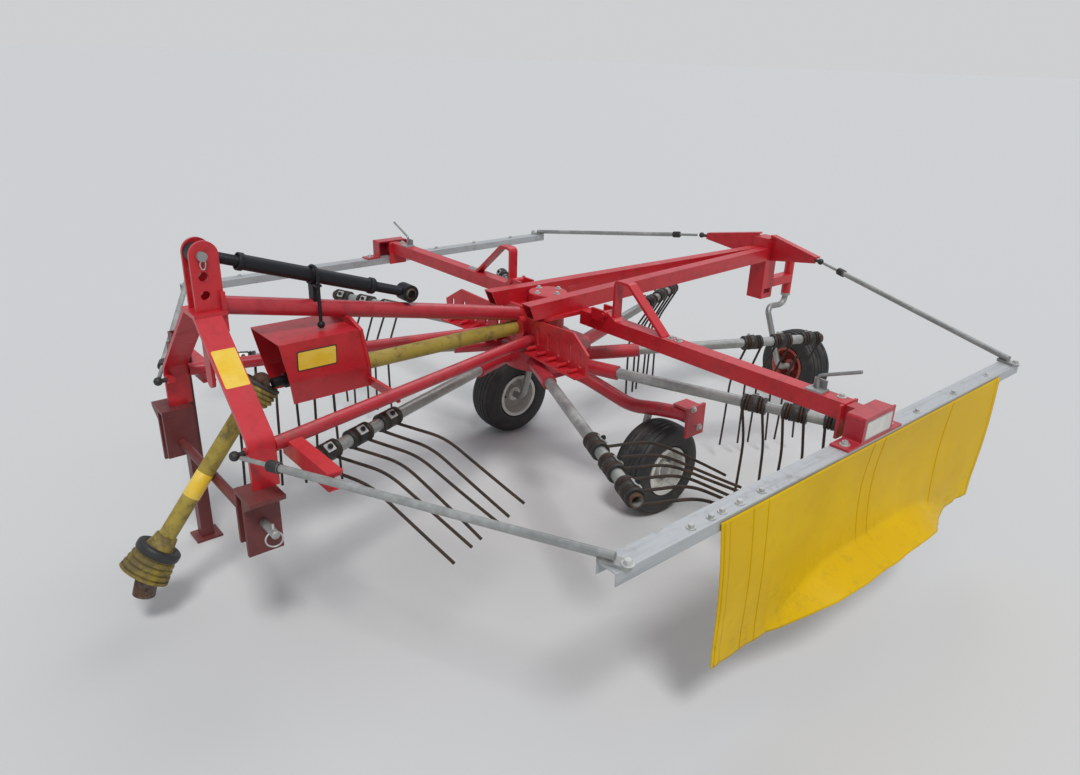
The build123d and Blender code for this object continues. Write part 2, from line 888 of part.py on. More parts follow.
with BuildPart() as arm_holders:
    with BuildSketch(side_plane(holder_outer_y)):
        with Locations((holder_front_x - holder_depth / 2, holder_mid_z)):
            Rectangle(holder_depth, holder_height)
        with Locations((holder_front_x - holder_depth / 2 - holder_plate, holder_mid_z)):
            Rectangle(holder_depth, holder_height - 2 * holder_plate, mode=Mode.SUBTRACT)
    extrude(amount=holder_outer_y - holder_inner_y)
    with BuildSketch(cross_plane(holder_front_x - holder_depth - 8)):
        with Locations(*[(place, holder_mid_z) for place in holder_peg_places]):
            Circle(holder_peg_r)
    extrude(amount=holder_depth + 8)
    add(straight_tube(low_tube_rear, low_tube_front, low_tube_r), mode=Mode.SUBTRACT)
    mirror(about=Plane.XZ)
arm_holders.part.label = "arm_holders"

# Rear beams, square tubes with slanted open front ends
beam_run = Vector(beam_rear_x - beam_front_x, beam_rear_y - beam_front_y, 0)
beam_way = beam_run.normalized()
beam_plane = Plane(
    origin=Vector(beam_front_x, beam_front_y, beam_z) - beam_way * beam_cut,
    x_dir=(-beam_way.Y, beam_way.X, 0),
    z_dir=beam_way,
)
cut_plane = Plane(
    origin=(beam_front_x, beam_front_y, beam_z),
    x_dir=(0, 1, 0),
    z_dir=(math.cos(math.radians(24)), 0, -math.sin(math.radians(24))),
)
with BuildPart() as rear_beams:
    with BuildSketch(beam_plane):
        Rectangle(beam_width, beam_height)
        Rectangle(beam_width - 2 * beam_wall, beam_height - 2 * beam_wall, mode=Mode.SUBTRACT)
    extrude(amount=beam_run.length + beam_cut)
    split(bisect_by=cut_plane, keep=Keep.BOTTOM)
    split(bisect_by=cross_plane(crosshead_x + column_size / 2), keep=Keep.TOP)
    mirror(about=Plane.XZ)
rear_beams.part.label = "rear_beams"

# Crosshead with its wings, column, boom and spindle tube
wing_run = Vector(wing_tip_x - crosshead_x, wing_tip_y, 0)
wing_way = wing_run.normalized()
wing_span = wing_run.length
wing_root = column_size / 2 - column_wall
wing_plane = Plane(origin=(crosshead_x, 0, 0), x_dir=wing_way, z_dir=(wing_way.Y, -wing_way.X, 0))

with BuildPart() as crosshead:
    with BuildSketch(wing_plane):
        with BuildLine():
            Polyline(
                (wing_root, wing_root_low_z),
                (wing_span, wing_tip_z - wing_tip_height / 2),
                (wing_span, wing_tip_z + wing_tip_height / 2),
                (wing_root, wing_root_high_z),
                close=True,
            )
        make_face()
    extrude(amount=wing_plate)
    with BuildSketch(wing_plane):
        with BuildLine():
            Polyline(
                (wing_root, wing_root_high_z - wing_plate),
                (wing_span, wing_tip_z + wing_tip_height / 2 - wing_plate),
                (wing_span, wing_tip_z + wing_tip_height / 2),
                (wing_root, wing_root_high_z),
                close=True,
            )
        make_face()
    extrude(amount=-wing_flange)
    mirror(about=Plane.XZ)
    with BuildSketch(Plane.XY.offset(column_foot_z)):
        with Locations((crosshead_x, 0)):
            Rectangle(column_size, column_size)
            Rectangle(column_size - 2 * column_wall, column_size - 2 * column_wall, mode=Mode.SUBTRACT)
    extrude(amount=head_top_z - column_wall - column_foot_z)
    with BuildSketch(Plane.XY.offset(head_top_z - column_wall)):
        with Locations((crosshead_x, 0)):
            Rectangle(column_size, column_size)
    extrude(amount=column_wall)
    with Locations((crosshead_x, 0, column_foot_z + 34)):
        Box(48, 2 * column_size, 22, mode=Mode.SUBTRACT)
    with BuildSketch(cross_plane(spindle_x)):
        with Locations((0, boom_low_z + boom_height / 2)):
            Rectangle(boom_width, boom_height)
    extrude(amount=crosshead_x - column_size / 2 - spindle_x)
    with BuildSketch(side_plane(4)):
        with BuildLine():
            Polyline(
                (crosshead_x - column_size / 2, boom_low_z + boom_height),
                (crosshead_x - column_size / 2, boom_low_z + boom_height + 70),
                (crosshead_x - column_size / 2 - 60, boom_low_z + boom_height),
                close=True,
            )
        make_face()
    extrude(amount=8)
    with BuildSketch(Plane.XY.offset(spindle_tube_low_z)):
        with Locations((spindle_x, 0)):
            Circle(spindle_tube_r)
    extrude(amount=spindle_tube_high_z - spindle_tube_low_z)
    with BuildSketch(Plane.XY.offset(spindle_tube_low_z)):
        with Locations((spindle_x, 0)):
            Circle(spindle_r + running_gap)
    extrude(amount=spindle_tube_high_z - spindle_tube_low_z - 12, mode=Mode.SUBTRACT)
crosshead.part.label = "crosshead"

# Ball clamps for the corner links, on studs from the legs and from the wing tips
wing_tip = Vector(wing_tip_x, wing_tip_y, wing_tip_z) + wing_plane.z_dir * (wing_plate / 2)
front_clamp = Vector(clamp_x, clamp_y, clamp_z)
rear_clamp = wing_tip + wing_way * clamp_stud_length
with BuildPart() as link_clamps:
    add(straight_tube((leg_high_x, clamp_y, clamp_z), front_clamp, clamp_stud_r))
    add(straight_tube(wing_tip, rear_clamp, clamp_stud_r))
    with Locations(front_clamp, rear_clamp):
        Sphere(clamp_r)
    mirror(about=Plane.XZ)
link_clamps.part.label = "link_clamps"

# Axle: the post through the rotor, the pipe under it and a bracket at each end
with BuildPart() as axle:
    with BuildSketch(Plane.XY.offset(axle_block_low_z)):
        Circle(post_r)
    extrude(amount=gear_floor_z - axle_block_low_z)
    with Locations((-45, 0, (axle_block_low_z + axle_block_high_z) / 2)):
        Box(110, 96, axle_block_high_z - axle_block_low_z)
    add(bent_bar(axle_path, axle_radii, axle_r))
    end_x = axle_path[-1][0]
    end_z = axle_path[-1][2]
    with Locations((end_x - 14, end_plate_y + end_plate / 2, end_z - 20)):
        Box(92, end_plate, 112)
    with Locations((end_x - 10, end_plate_y - 32, end_z + axle_r + 2)):
        Box(70, 64, 8)
    with Locations((end_x - 10, end_plate_y - 6, end_z)):
        Box(60, 12, 40)
    mirror(about=Plane.XZ)
axle.part.label = "axle"

# Cranked wheel arms under the axle's end plates
crank_path = (
    (crank_x, end_plate_y, crank_z),
    (crank_x, crank_y, crank_z),
    (wheel_x, crank_y, wheel_r),
    (wheel_x, wheel_y - 40, wheel_r),
)
crank_bar = bent_bar(crank_path, crank_bend_r, crank_r)
with BuildPart() as wheel_cranks:
    add(crank_bar)
    with BuildSketch(side_plane(wheel_y - 41)):
        with Locations((wheel_x, wheel_r)):
            Circle(stub_r)
    extrude(amount=-90)
    mirror(about=Plane.XZ)
wheel_cranks.part.label = "wheel_cranks"


def wheel_plane(centre, way):
    """A plane whose own x is the wheel's radius forward and whose own y runs along its axle."""
    return Plane(origin=centre, x_dir=(way[1], -way[0], 0), z_dir=(0, 0, 1))


def make_tyre(centre, way):
    """A tyre turned about its axle; way is the axle's direction."""
    axle_line = Axis(centre, (way[0], way[1], 0))
    half = wheel_width / 2
    with BuildPart() as piece:
        with BuildSketch(wheel_plane(centre, way)):
            with BuildLine():
                Polyline((bead_r + seat_gap, -bead_y), (flange_r + 1, -bead_y))
                ThreePointArc((flange_r + 1, -bead_y), (wheel_r - 48, -half), (wheel_r - 14, -half + 10))
                ThreePointArc((wheel_r - 14, -half + 10), (wheel_r - 5, -half + 15), (wheel_r - 2, -half + 24))
                ThreePointArc((wheel_r - 2, -half + 24), (wheel_r, 0), (wheel_r - 2, half - 24))
                ThreePointArc((wheel_r - 2, half - 24), (wheel_r - 5, half - 15), (wheel_r - 14, half - 10))
                ThreePointArc((wheel_r - 14, half - 10), (wheel_r - 48, half), (flange_r + 1, bead_y))
                Polyline((flange_r + 1, bead_y), (bead_r + seat_gap, bead_y), (bead_r + seat_gap, -bead_y))
            make_face()
        revolve(axis=axle_line)
    return piece.part


def make_rim(centre, way):
    """A pressed rim: barrel, two flanges, dished disc and hub, turned about its axle."""
    axle_line = Axis(centre, (way[0], way[1], 0))
    bore = stub_r + running_gap
    with BuildPart() as piece:
        with BuildSketch(wheel_plane(centre, way)):
            with BuildLine():
                Polyline(
                    (bore, -34),
                    (hub_r, -34),
                    (hub_r, disc_y),
                    (bead_r - 14, disc_y + 6),
                    (bead_r - 5, disc_y - 12),
                    (bead_r - 5, -bead_y - flange_plate - seat_gap),
                    (flange_r, -bead_y - flange_plate - seat_gap),
                    (flange_r, -bead_y - seat_gap),
                    (bead_r, -bead_y - seat_gap),
                    (bead_r, bead_y + seat_gap),
                    (flange_r, bead_y + seat_gap),
                    (flange_r, bead_y + flange_plate + seat_gap),
                    (bead_r - 5, bead_y + flange_plate + seat_gap),
                    (bead_r - 5, disc_y + 10),
                    (bead_r - 12, disc_y + disc_plate + 8),
                    (hub_r, disc_y + disc_plate),
                    (hub_r, 44),
                    (bore, 44),
                    close=True,
                )
            make_face()
        revolve(axis=axle_line)
    return piece.part


left_centre = (wheel_x, wheel_y, wheel_r)
right_centre = (wheel_x, -wheel_y, wheel_r)
castor_angle = math.radians(castor_turn)
castor_ahead = Vector(math.cos(castor_angle), math.sin(castor_angle), 0)
castor_aside = Vector(-math.sin(castor_angle), math.cos(castor_angle), 0)
spindle_foot = Vector(spindle_x, 0, castor_knee_z)
rear_centre = Vector(spindle_x, 0, wheel_r) - castor_ahead * castor_trail

left_tyre = make_tyre(left_centre, (0, 1))
right_tyre = make_tyre(right_centre, (0, -1))
rear_tyre = make_tyre(tuple(rear_centre), (castor_aside.X, castor_aside.Y))
left_rim = make_rim(left_centre, (0, 1))
right_rim = make_rim(right_centre, (0, -1))
rear_rim = make_rim(tuple(rear_centre), (-castor_aside.X, -castor_aside.Y))

# Castor crank: spindle, knee and stub axle in one bent bar
castor_path = (
    Vector(spindle_x, 0, spindle_tube_low_z + 150),
    spindle_foot,
    spindle_foot + castor_aside * castor_reach,
    rear_centre + castor_aside * castor_reach,
    rear_centre + castor_aside * (hub_r + 12),
)
castor_bar = bent_bar([tuple(point) for point in castor_path], castor_bend_r, spindle_r)
castor_stub = straight_tube(
    rear_centre + castor_aside * (hub_r + 13), rear_centre - castor_aside * 46, stub_r
)
with BuildPart() as castor_crank:
    add(castor_bar)
    add(castor_stub)
    with BuildSketch(Plane.XY.offset(spindle_tube_low_z - 12)):
        with Locations((spindle_x, 0)):
            Circle(spindle_tube_r)
    extrude(amount=12 - seat_gap)
castor_crank.part.label = "castor_crank"

# Rotor: a drum with a socket for each tine arm
arm_angles = [arm_turn + 360 / arm_count * i for i in range(arm_count)]


def arm_point(angle, along, beside=0.0, height=0.0):
    """A point on or beside a tine arm: distance out along it, ahead of it and above it."""
    turn = math.radians(angle)
    out = Vector(math.cos(turn), math.sin(turn), 0)
    ahead = Vector(-math.sin(turn), math.cos(turn), 0)
    return out * along + ahead * (arm_offset + beside) + Vector(0, 0, rotor_z + height)


sockets = [straight_tube(arm_point(a, 60), arm_point(a, socket_end), socket_r) for a in arm_angles]
socket_bores = [
    straight_tube(arm_point(a, arm_start), arm_point(a, socket_end + 5), arm_r + seat_gap)
    for a in arm_angles
]
with BuildPart() as rotor_hub:
    with BuildSketch(Plane.XY.offset(drum_low_z)):
        Circle(drum_r)
    extrude(amount=drum_high_z - drum_low_z)
    add(sockets)
    add(socket_bores, mode=Mode.SUBTRACT)
    with BuildSketch(Plane.XY.offset(drum_low_z)):
        Circle(post_r + seat_gap)
    extrude(amount=drum_high_z - drum_low_z, mode=Mode.SUBTRACT)
rotor_hub.part.label = "rotor_hub"

arm_tubes = [
    straight_tube(arm_point(a, arm_start), arm_point(a, arm_end), arm_r, arm_r - arm_wall)
    for a in arm_angles
]
with BuildPart() as tine_arms:
    add(arm_tubes)
tine_arms.part.label = "tine_arms"


def tine_set(angle, place, raised):
    """A double tine: its clamp with two coils round the arm and a bent wire from each coil."""
    first = 0 if raised else tine_hang
    second = first + tine_knee
    slope_1 = math.radians(-first)
    slope_2 = math.radians(-second)
    wires = []
    for side in (-1, 1):
        along = place + side * tine_spread
        start_beside = -math.sin(math.radians(first)) * (coil_r - 2)
        start_height = -math.cos(math.radians(first)) * (coil_r - 2)
        knee_beside = start_beside + math.cos(slope_1) * tine_upper
        knee_height = start_height + math.sin(slope_1) * tine_upper
        tip_beside = knee_beside + math.cos(slope_2) * tine_lower
        tip_height = knee_height + math.sin(slope_2) * tine_lower
        start = arm_point(angle, along, start_beside, start_height)
        knee = arm_point(angle, along, knee_beside, knee_height)
        tip = arm_point(angle, along, tip_beside, tip_height)
        with BuildPart() as wire:
            with BuildLine() as path:
                Polyline(tuple(start), tuple(knee), tuple(tip))
            with BuildSketch(Plane(origin=tuple(start), z_dir=knee - start)):
                RegularPolygon(tine_wire_r, 6)
            sweep(transition=Transition.RIGHT)
        wires.append(wire.part)
    half = tine_spread + coil_length / 2
    sleeve = straight_tube(
        arm_point(angle, place - half), arm_point(angle, place + half), coil_r, arm_r + seat_gap
    )
    return [sleeve] + wires


with BuildPart() as tines:
    for index, angle in enumerate(arm_angles):
        for place in tine_places:
            wire_set = tine_set(angle, place, index in raised_arms)
            with BuildPart(mode=Mode.PRIVATE) as one_set:
                add(wire_set)
            add(one_set.part)
tines.part.label = "tines"

# Guard stubs on the frame, one each side, with the ears and pins the guard arms fold on
stub_high_z = guard_z + arm_size / 2
hinge_z = stub_high_z + hinge_r + 1.5
ear_x = arm_size / 2 + seat_gap

with BuildPart() as guard_stubs:
    with BuildSketch(side_plane(hinge_y)):
        with Locations((guard_x, guard_z)):
            Rectangle(arm_size, arm_size)
            Rectangle(arm_size - 2 * guard_wall, arm_size - 2 * guard_wall, mode=Mode.SUBTRACT)
    extrude(amount=hinge_y - head_plate_y)
    for ear_low_x in (guard_x - ear_x - hinge_ear, guard_x + ear_x):
        with BuildSketch(cross_plane(ear_low_x)):
            with Locations((hinge_y - 30, guard_z + 12)):
                Rectangle(60, hinge_z - guard_z - 12 + hinge_r, align=(Align.CENTER, Align.MIN))
            with Locations((hinge_y, hinge_z)):
                Circle(hinge_r)
        extrude(amount=hinge_ear)
    with BuildSketch(cross_plane(guard_x - ear_x - hinge_ear - 8)):
        with Locations((hinge_y, hinge_z)):
            Circle(hinge_pin_r)
    extrude(amount=2 * (ear_x + hinge_ear + 8))
    with Locations((guard_x, hinge_y - 45, stub_high_z - 6)):
        Box(2 * ear_x, 30, 12)
    mirror(about=Plane.XZ)
guard_stubs.part.label = "guard_stubs"

# Guard arms with their hoops, knuckles and end plates
arm_start_y = hinge_y + seat_gap
hoop_low_z = stub_high_z
hoop_path = (
    (hoop_post_y, hoop_low_z - 2),
    (hoop_post_y, hoop_top_z),
    (hoop_corner_y, hoop_top_z),
    (hoop_foot_y, hoop_low_z - 2),
)

with BuildPart() as left_guard_arm:
    with BuildSketch(side_plane(guard_end_y)):
        with Locations((guard_x, guard_z)):
            Rectangle(arm_size, arm_size)
            Rectangle(arm_size - 2 * guard_wall, arm_size - 2 * guard_wall, mode=Mode.SUBTRACT)
    extrude(amount=guard_end_y - arm_start_y)
    with BuildSketch(cross_plane(guard_x - ear_x + 2 * seat_gap)):
        with BuildLine():
            Polyline(
                (arm_start_y, stub_high_z - 2),
                (arm_start_y, hinge_z),
                (hinge_y + 6, hinge_z + hinge_r - 2),
                (hinge_y + 52, stub_high_z - 2),
                close=True,
            )
        make_face()
        with Locations((hinge_y, hinge_z)):
            Circle(hinge_r)
            Circle(hinge_pin_r + running_gap, mode=Mode.SUBTRACT)
    extrude(amount=2 * ear_x - 4 * seat_gap)
    with BuildSketch(cross_plane(guard_x - hoop_width / 2)):
        with BuildLine():
            FilletPolyline(*hoop_path, radius=hoop_bend_r)
        trace(line_width=hoop_bar)
    extrude(amount=hoop_width)
    with BuildSketch(side_plane(guard_end_y)):
        with Locations((guard_x, (end_flange_low_z + end_flange_high_z) / 2)):
            Rectangle(end_flange_width, end_flange_high_z - end_flange_low_z)
        with Locations((guard_x, guard_z)):
            Rectangle(arm_size - 2 * guard_wall, arm_size - 2 * guard_wall, mode=Mode.SUBTRACT)
    extrude(amount=end_flange)
left_guard_arm.part.label = "left_guard_arm"

# Inner tubes with the hats that carry the bars
inner_size = arm_size - 2 * guard_wall - 2 * slide_gap
bar_outer_y = bar_y + bar_width / 2
hat_outline = (
    (hat_front_x + hat_foot, bar_top_z + hat_plate / 2),
    (hat_front_x - hat_plate / 2, bar_top_z + hat_plate / 2),
    (hat_front_x - hat_plate / 2, hat_top_z - hat_plate / 2),
    (hat_rear_x + hat_plate / 2, hat_top_z - hat_plate / 2),
    (hat_rear_x + hat_plate / 2, bar_top_z + hat_plate / 2),
    (hat_rear_x - hat_foot, bar_top_z + hat_plate / 2),
)

with BuildPart() as left_hat:
    with BuildSketch(side_plane(bar_outer_y)):
        with BuildLine():
            FilletPolyline(*hat_outline, radius=hat_bend_r)
        trace(line_width=hat_plate)
    extrude(amount=hat_depth)
    with BuildSketch(side_plane(bar_outer_y)):
        with Locations(((hat_front_x + hat_rear_x) / 2, (bar_top_z + hat_top_z) / 2)):
            Rectangle(hat_front_x - hat_rear_x, hat_top_z - bar_top_z)
    extrude(amount=hat_plate)
    with BuildSketch(side_plane(bar_outer_y)):
        with Locations((guard_x, guard_z)):
            Rectangle(inner_size, inner_size)
            Rectangle(inner_size - 2 * guard_wall, inner_size - 2 * guard_wall, mode=Mode.SUBTRACT)
    extrude(amount=bar_outer_y - inner_start_y)
left_hat.part.label = "left_hat"

# Side bars, light channels open below
with BuildPart() as left_bar:
    with BuildSketch(cross_plane(bar_rear_x)):
        with Locations((bar_y, bar_top_z - bar_height / 2)):
            Rectangle(bar_width, bar_height)
        with Locations((bar_y, bar_top_z - bar_height / 2 - bar_wall)):
            Rectangle(bar_width - 2 * bar_wall, bar_height, mode=Mode.SUBTRACT)
    extrude(amount=bar_front_x - bar_rear_x)
left_bar.part.label = "left_bar"

# Curtain with its turned out lower edge
curtain_line = [(bar_outer_y + out, height) for out, height in curtain_profile]
with BuildPart() as curtain:
    with BuildSketch(cross_plane(curtain_rear_x)):
        with BuildLine():
            FilletPolyline(*curtain_line, radius=curtain_radii)
        trace(line_width=curtain_thickness)
    extrude(amount=curtain_front_x - curtain_rear_x)
curtain.part.label = "curtain"

# Links from the bar ends to the clamps on the headstock and the crosshead
link_seat_z = bar_top_z + link_pipe_r + 5


def make_link(clamp, seat):
    """A corner link: thin rod near its clamp, collar, pipe and a flat seat on the bar."""
    run = seat - clamp
    way = run.normalized()
    flat_way = Vector(way.X, way.Y, 0).normalized()
    rod_start = clamp + way * (clamp_r + link_end_gap)
    collar_start = rod_start + way * link_rod_length
    collar_end = collar_start + way * link_collar_length
    with BuildPart() as piece:
        add(straight_tube(rod_start, collar_start, link_rod_r))
        add(straight_tube(collar_start, collar_end, link_collar_r))
        add(straight_tube(collar_end, seat, link_pipe_r))
        with BuildSketch(Plane(origin=(seat.X, seat.Y, bar_top_z), x_dir=flat_way, z_dir=(0, 0, 1))):
            RectangleRounded(link_seat_length, 2 * link_pipe_r + 10, 8)
        extrude(amount=link_seat_plate)
    return piece.part


front_link = make_link(front_clamp, Vector(bar_front_x - seat_inset, bar_y, link_seat_z))
rear_link = make_link(rear_clamp, Vector(bar_rear_x + seat_inset, bar_y, link_seat_z))
with BuildPart() as left_links:
    add(front_link)
    add(rear_link)
left_links.part.label = "left_links"

# Mirrored right side, without a curtain
pieces = {
    "headstock": headstock.part,
    "lower_hitch": lower_hitch.part,
    "hitch_pins": hitch_pins.part,
    "stand_sleeve": stand_sleeve.part,
    "parking_stand": parking_stand.part,
    "top_link": top_link.part,
    "mast_pin": mast_pin.part,
    "stay_rod": stay_rod.part,
    "frame_tubes": frame_tubes.part,
    "carrier_plate": carrier.part,
    "guard_box": guard_box.part,
    "shaft_guard": shaft_guard.part,
    "input_shaft": input_shaft.part,
    "drive_guard": drive_guard.part,
    "upper_bell": upper_bell,
    "drive_yokes": drive_yokes.part,
    "gearbox": gearbox.part,
    "arm_racks": arm_racks.part,
    "arm_holders": arm_holders.part,
    "rear_beams": rear_beams.part,
    "crosshead": crosshead.part,
    "link_clamps": link_clamps.part,
    "axle": axle.part,
    "wheel_cranks": wheel_cranks.part,
    "left_tyre": left_tyre,
    "left_rim": left_rim,
    "right_tyre": right_tyre,
    "right_rim": right_rim,
    "rear_tyre": rear_tyre,
    "rear_rim": rear_rim,
    "castor_crank": castor_crank.part,
    "rotor_hub": rotor_hub.part,
    "tine_arms": tine_arms.part,
    "tines": tines.part,
    "guard_stubs": guard_stubs.part,
    "left_guard_arm": left_guard_arm.part,
    "left_hat": left_hat.part,
    "left_bar": left_bar.part,
    "left_links": left_links.part,
    "curtain": curtain.part,
    "right_guard_arm": left_guard_arm.part.mirror(Plane.XZ),
    "right_hat": left_hat.part.mirror(Plane.XZ),
    "right_bar": left_bar.part.mirror(Plane.XZ),
    "right_links": left_links.part.mirror(Plane.XZ),
}

# Shift to the middle of the whole machine and writing
boxes = [part.bounding_box() for part in pieces.values()]
low_x = min(box.min.X for box in boxes)
high_x = max(box.max.X for box in boxes)
low_y = min(box.min.Y for box in boxes)
high_y = max(box.max.Y for box in boxes)
middle = Location((-(low_x + high_x) / 2, -(low_y + high_y) / 2, 0))
print("shift", middle.position)
for name, part in pieces.items():
    placed = part.moved(middle)
    placed.label = name
    export_step(placed, f"parts/{name}.step")
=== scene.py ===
import json
import math

import bmesh
import bpy
import numpy as np
from mathutils import Matrix, Vector


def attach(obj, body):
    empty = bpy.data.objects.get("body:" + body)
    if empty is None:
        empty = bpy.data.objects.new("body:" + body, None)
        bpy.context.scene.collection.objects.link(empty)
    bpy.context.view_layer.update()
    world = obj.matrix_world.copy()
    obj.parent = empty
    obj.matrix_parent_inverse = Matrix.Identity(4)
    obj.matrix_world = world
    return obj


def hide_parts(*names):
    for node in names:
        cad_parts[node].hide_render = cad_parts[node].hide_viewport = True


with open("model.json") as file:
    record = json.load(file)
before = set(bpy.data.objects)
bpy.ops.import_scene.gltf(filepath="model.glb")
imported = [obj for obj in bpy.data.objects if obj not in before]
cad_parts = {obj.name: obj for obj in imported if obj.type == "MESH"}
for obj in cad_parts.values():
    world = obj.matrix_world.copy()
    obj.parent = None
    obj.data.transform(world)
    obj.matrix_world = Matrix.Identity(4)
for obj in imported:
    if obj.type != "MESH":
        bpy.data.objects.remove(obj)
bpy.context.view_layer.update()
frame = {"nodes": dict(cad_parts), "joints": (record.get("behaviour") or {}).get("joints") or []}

# Lengths are in millimetres where nothing else is said, and places are counted forward, to the left
# and up from the rotor's axis on the ground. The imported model's joints give where that axis stands.
JOINTS = {joint["name"]: joint for joint in frame["joints"]}
ROTOR = np.array(JOINTS["rotor_spin"]["pos_m"]) * (1, 1, 0)
UP = np.array([0, 0, 1.0])


def metres(millimetres):
    """Millimetres as an array in metres."""
    return np.asarray(millimetres, float) / 1000


def at(forward, left, up):
    """A point in metres in the model's own frame."""
    return metres([forward, left, up]) + ROTOR


def unit(vector):
    """A vector, or rows of vectors, at length one."""
    vector = np.asarray(vector, float)
    return vector / np.linalg.norm(vector, axis=-1, keepdims=True)


def smooth_step(value, low, high):
    """0 up to low, 1 from high on, and 3 t squared less 2 t cubed over the share t between them."""
    t = np.clip((value - low) / (high - low), 0, 1)
    return t * t * (3 - 2 * t)


def squarish(wave, power):
    """A wave's size raised to a power below one, with its sign kept, which squares its rounds."""
    return np.sign(wave) * np.abs(wave) ** power


# Camera at the photograph's angle. It sees as far as CAMERA_REACH, in metres.
CAMERA_PLACE = (1842.2, 2094.6, 1531.7)
CAMERA_YAW = math.radians(-130.98)
CAMERA_PITCH = math.radians(-22.5)
CAMERA_ROLL = math.radians(1.91)
CAMERA_LENS = 26.57
CAMERA_REACH = 900
SENSOR_WIDTH = 36.0


def make_camera():
    """The camera looks along yaw and pitch and is turned about its own axis by the roll."""
    level = math.cos(CAMERA_PITCH)
    look = np.array([level * math.cos(CAMERA_YAW), level * math.sin(CAMERA_YAW), math.sin(CAMERA_PITCH)])
    right = np.array([math.sin(CAMERA_YAW), -math.cos(CAMERA_YAW), 0.0])
    upward = np.cross(right, look)
    turn_cos, turn_sin = math.cos(CAMERA_ROLL), math.sin(CAMERA_ROLL)
    right, upward = turn_cos * right + turn_sin * upward, turn_cos * upward - turn_sin * right
    data = bpy.data.cameras.new("camera")
    data.lens = CAMERA_LENS
    data.sensor_width = SENSOR_WIDTH
    data.sensor_fit = "HORIZONTAL"
    data.clip_end = CAMERA_REACH
    camera = bpy.data.objects.new("camera", data)
    matrix = Matrix.Identity(4)
    for row in range(3):
        matrix[row][0], matrix[row][1], matrix[row][2] = right[row], upward[row], -look[row]
        matrix[row][3] = at(*CAMERA_PLACE)[row]
    camera.matrix_world = matrix
    bpy.context.scene.collection.objects.link(camera)
    bpy.context.scene.camera = camera


make_camera()


# Surfaces from arrays. An axis whose upward part passes STEEP takes its rings from the forward way,
# and points closer than MERGE_DISTANCE, in metres, become one.
STEEP = 0.9
MERGE_DISTANCE = 1e-6
CORNER_STEPS = 5


class Shape:
    """Gathers grids of points into one mesh."""

    def __init__(self):
        self.points = []
        self.faces = []
        self.count = 0

    def add(self, points, faces):
        """Points as rows, faces as rows of point numbers within those rows."""
        self.points.append(np.asarray(points, float).reshape(-1, 3))
        self.faces.extend((np.asarray(faces) + self.count).tolist())
        self.count += len(self.points[-1])
        return self

    def grid(self, points, close_rows=False, close_columns=False):
        """A surface over a grid of points: quads join each point to the next row and column."""
        rows, columns = points.shape[:2]
        numbers = np.arange(rows * columns).reshape(rows, columns)
        if close_rows:
            numbers = np.vstack([numbers, numbers[:1]])
        if close_columns:
            numbers = np.hstack([numbers, numbers[:, :1]])
        quads = np.stack([numbers[:-1, :-1], numbers[:-1, 1:], numbers[1:, 1:], numbers[1:, :-1]], -1)
        return self.add(points, quads.reshape(-1, 4))

    def sweep(self, path, radius, across, sides):
        """A tube, with path and radius in metres: each path point carries a ring whose normal is the
        part of `across` square to the path, with radius times (cos a, sin a) in the plane of the two
        normals. Both ends are closed."""
        path = np.asarray(path, float)
        along = unit(np.gradient(path, axis=0))
        across = np.broadcast_to(np.asarray(across, float), path.shape)
        first = unit(across - (across * along).sum(1, keepdims=True) * along)
        second = np.cross(along, first)
        turn = np.linspace(0, 2 * math.pi, sides, endpoint=False)
        ring = np.cos(turn)[None, :, None] * first[:, None] + np.sin(turn)[None, :, None] * second[:, None]
        start = self.count
        self.grid((path[:, None] + radius * ring)[:, ::-1], close_columns=True)
        numbers = np.arange(sides) + start
        self.faces.append(numbers[::-1].tolist())
        self.faces.append((numbers + (len(path) - 1) * sides).tolist())
        return self

    def turn(self, profile, centre, axis, sides, closed=False):
        """A surface of revolution: each profile row is (radius, distance along the axis) in
        millimetres, turned round the axis through the centre."""
        profile = metres(profile)
        axis = unit(axis)
        helper = UP if abs(axis[2]) < STEEP else np.array([1.0, 0, 0])
        first = unit(np.cross(helper, axis))
        second = np.cross(axis, first)
        turn = np.linspace(0, 2 * math.pi, sides, endpoint=False)
        round_way = np.cos(turn)[:, None] * first + np.sin(turn)[:, None] * second
        points = (
            np.asarray(centre)
            + profile[:, None, :1] * round_way[None]
            + profile[:, None, 1:] * axis[None, None]
        )
        return self.grid(points, close_rows=closed, close_columns=True)

    def prism(self, outline, origin, first, second, depth):
        """An outline in millimetres, in the plane of two ways through the origin, pushed by `depth`
        along the plane's normal, with both faces closed."""
        outline = metres(outline)
        first, second = unit(first), unit(second)
        base = np.asarray(origin) + outline[:, :1] * first + outline[:, 1:] * second
        count, start = len(outline), self.count
        numbers = np.arange(count)
        after = (numbers + 1) % count
        self.add(np.vstack([base, base + np.cross(first, second) * metres(depth)]),
                 np.stack([numbers, after, after + count, numbers + count], 1))
        self.faces.append((numbers[::-1] + start).tolist())
        self.faces.append((numbers + count + start).tolist())
        return self

    def make(self, name, body, material, slot=None, angle=40):
        """The mesh as an object that rides on a body, with outward normals and one material. Edges
        that turn by more than the angle in degrees stay sharp."""
        mesh = bpy.data.meshes.new(name)
        mesh.from_pydata(np.vstack(self.points).tolist(), [], self.faces)
        mesh.update()
        piece = bpy.data.objects.new(name, mesh)
        bpy.context.scene.collection.objects.link(piece)
        outward(mesh)
        mesh.materials.append(material)
        mesh.shade_smooth()
        mesh.set_sharp_from_angle(angle=math.radians(angle))
        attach(piece, body)
        return piece


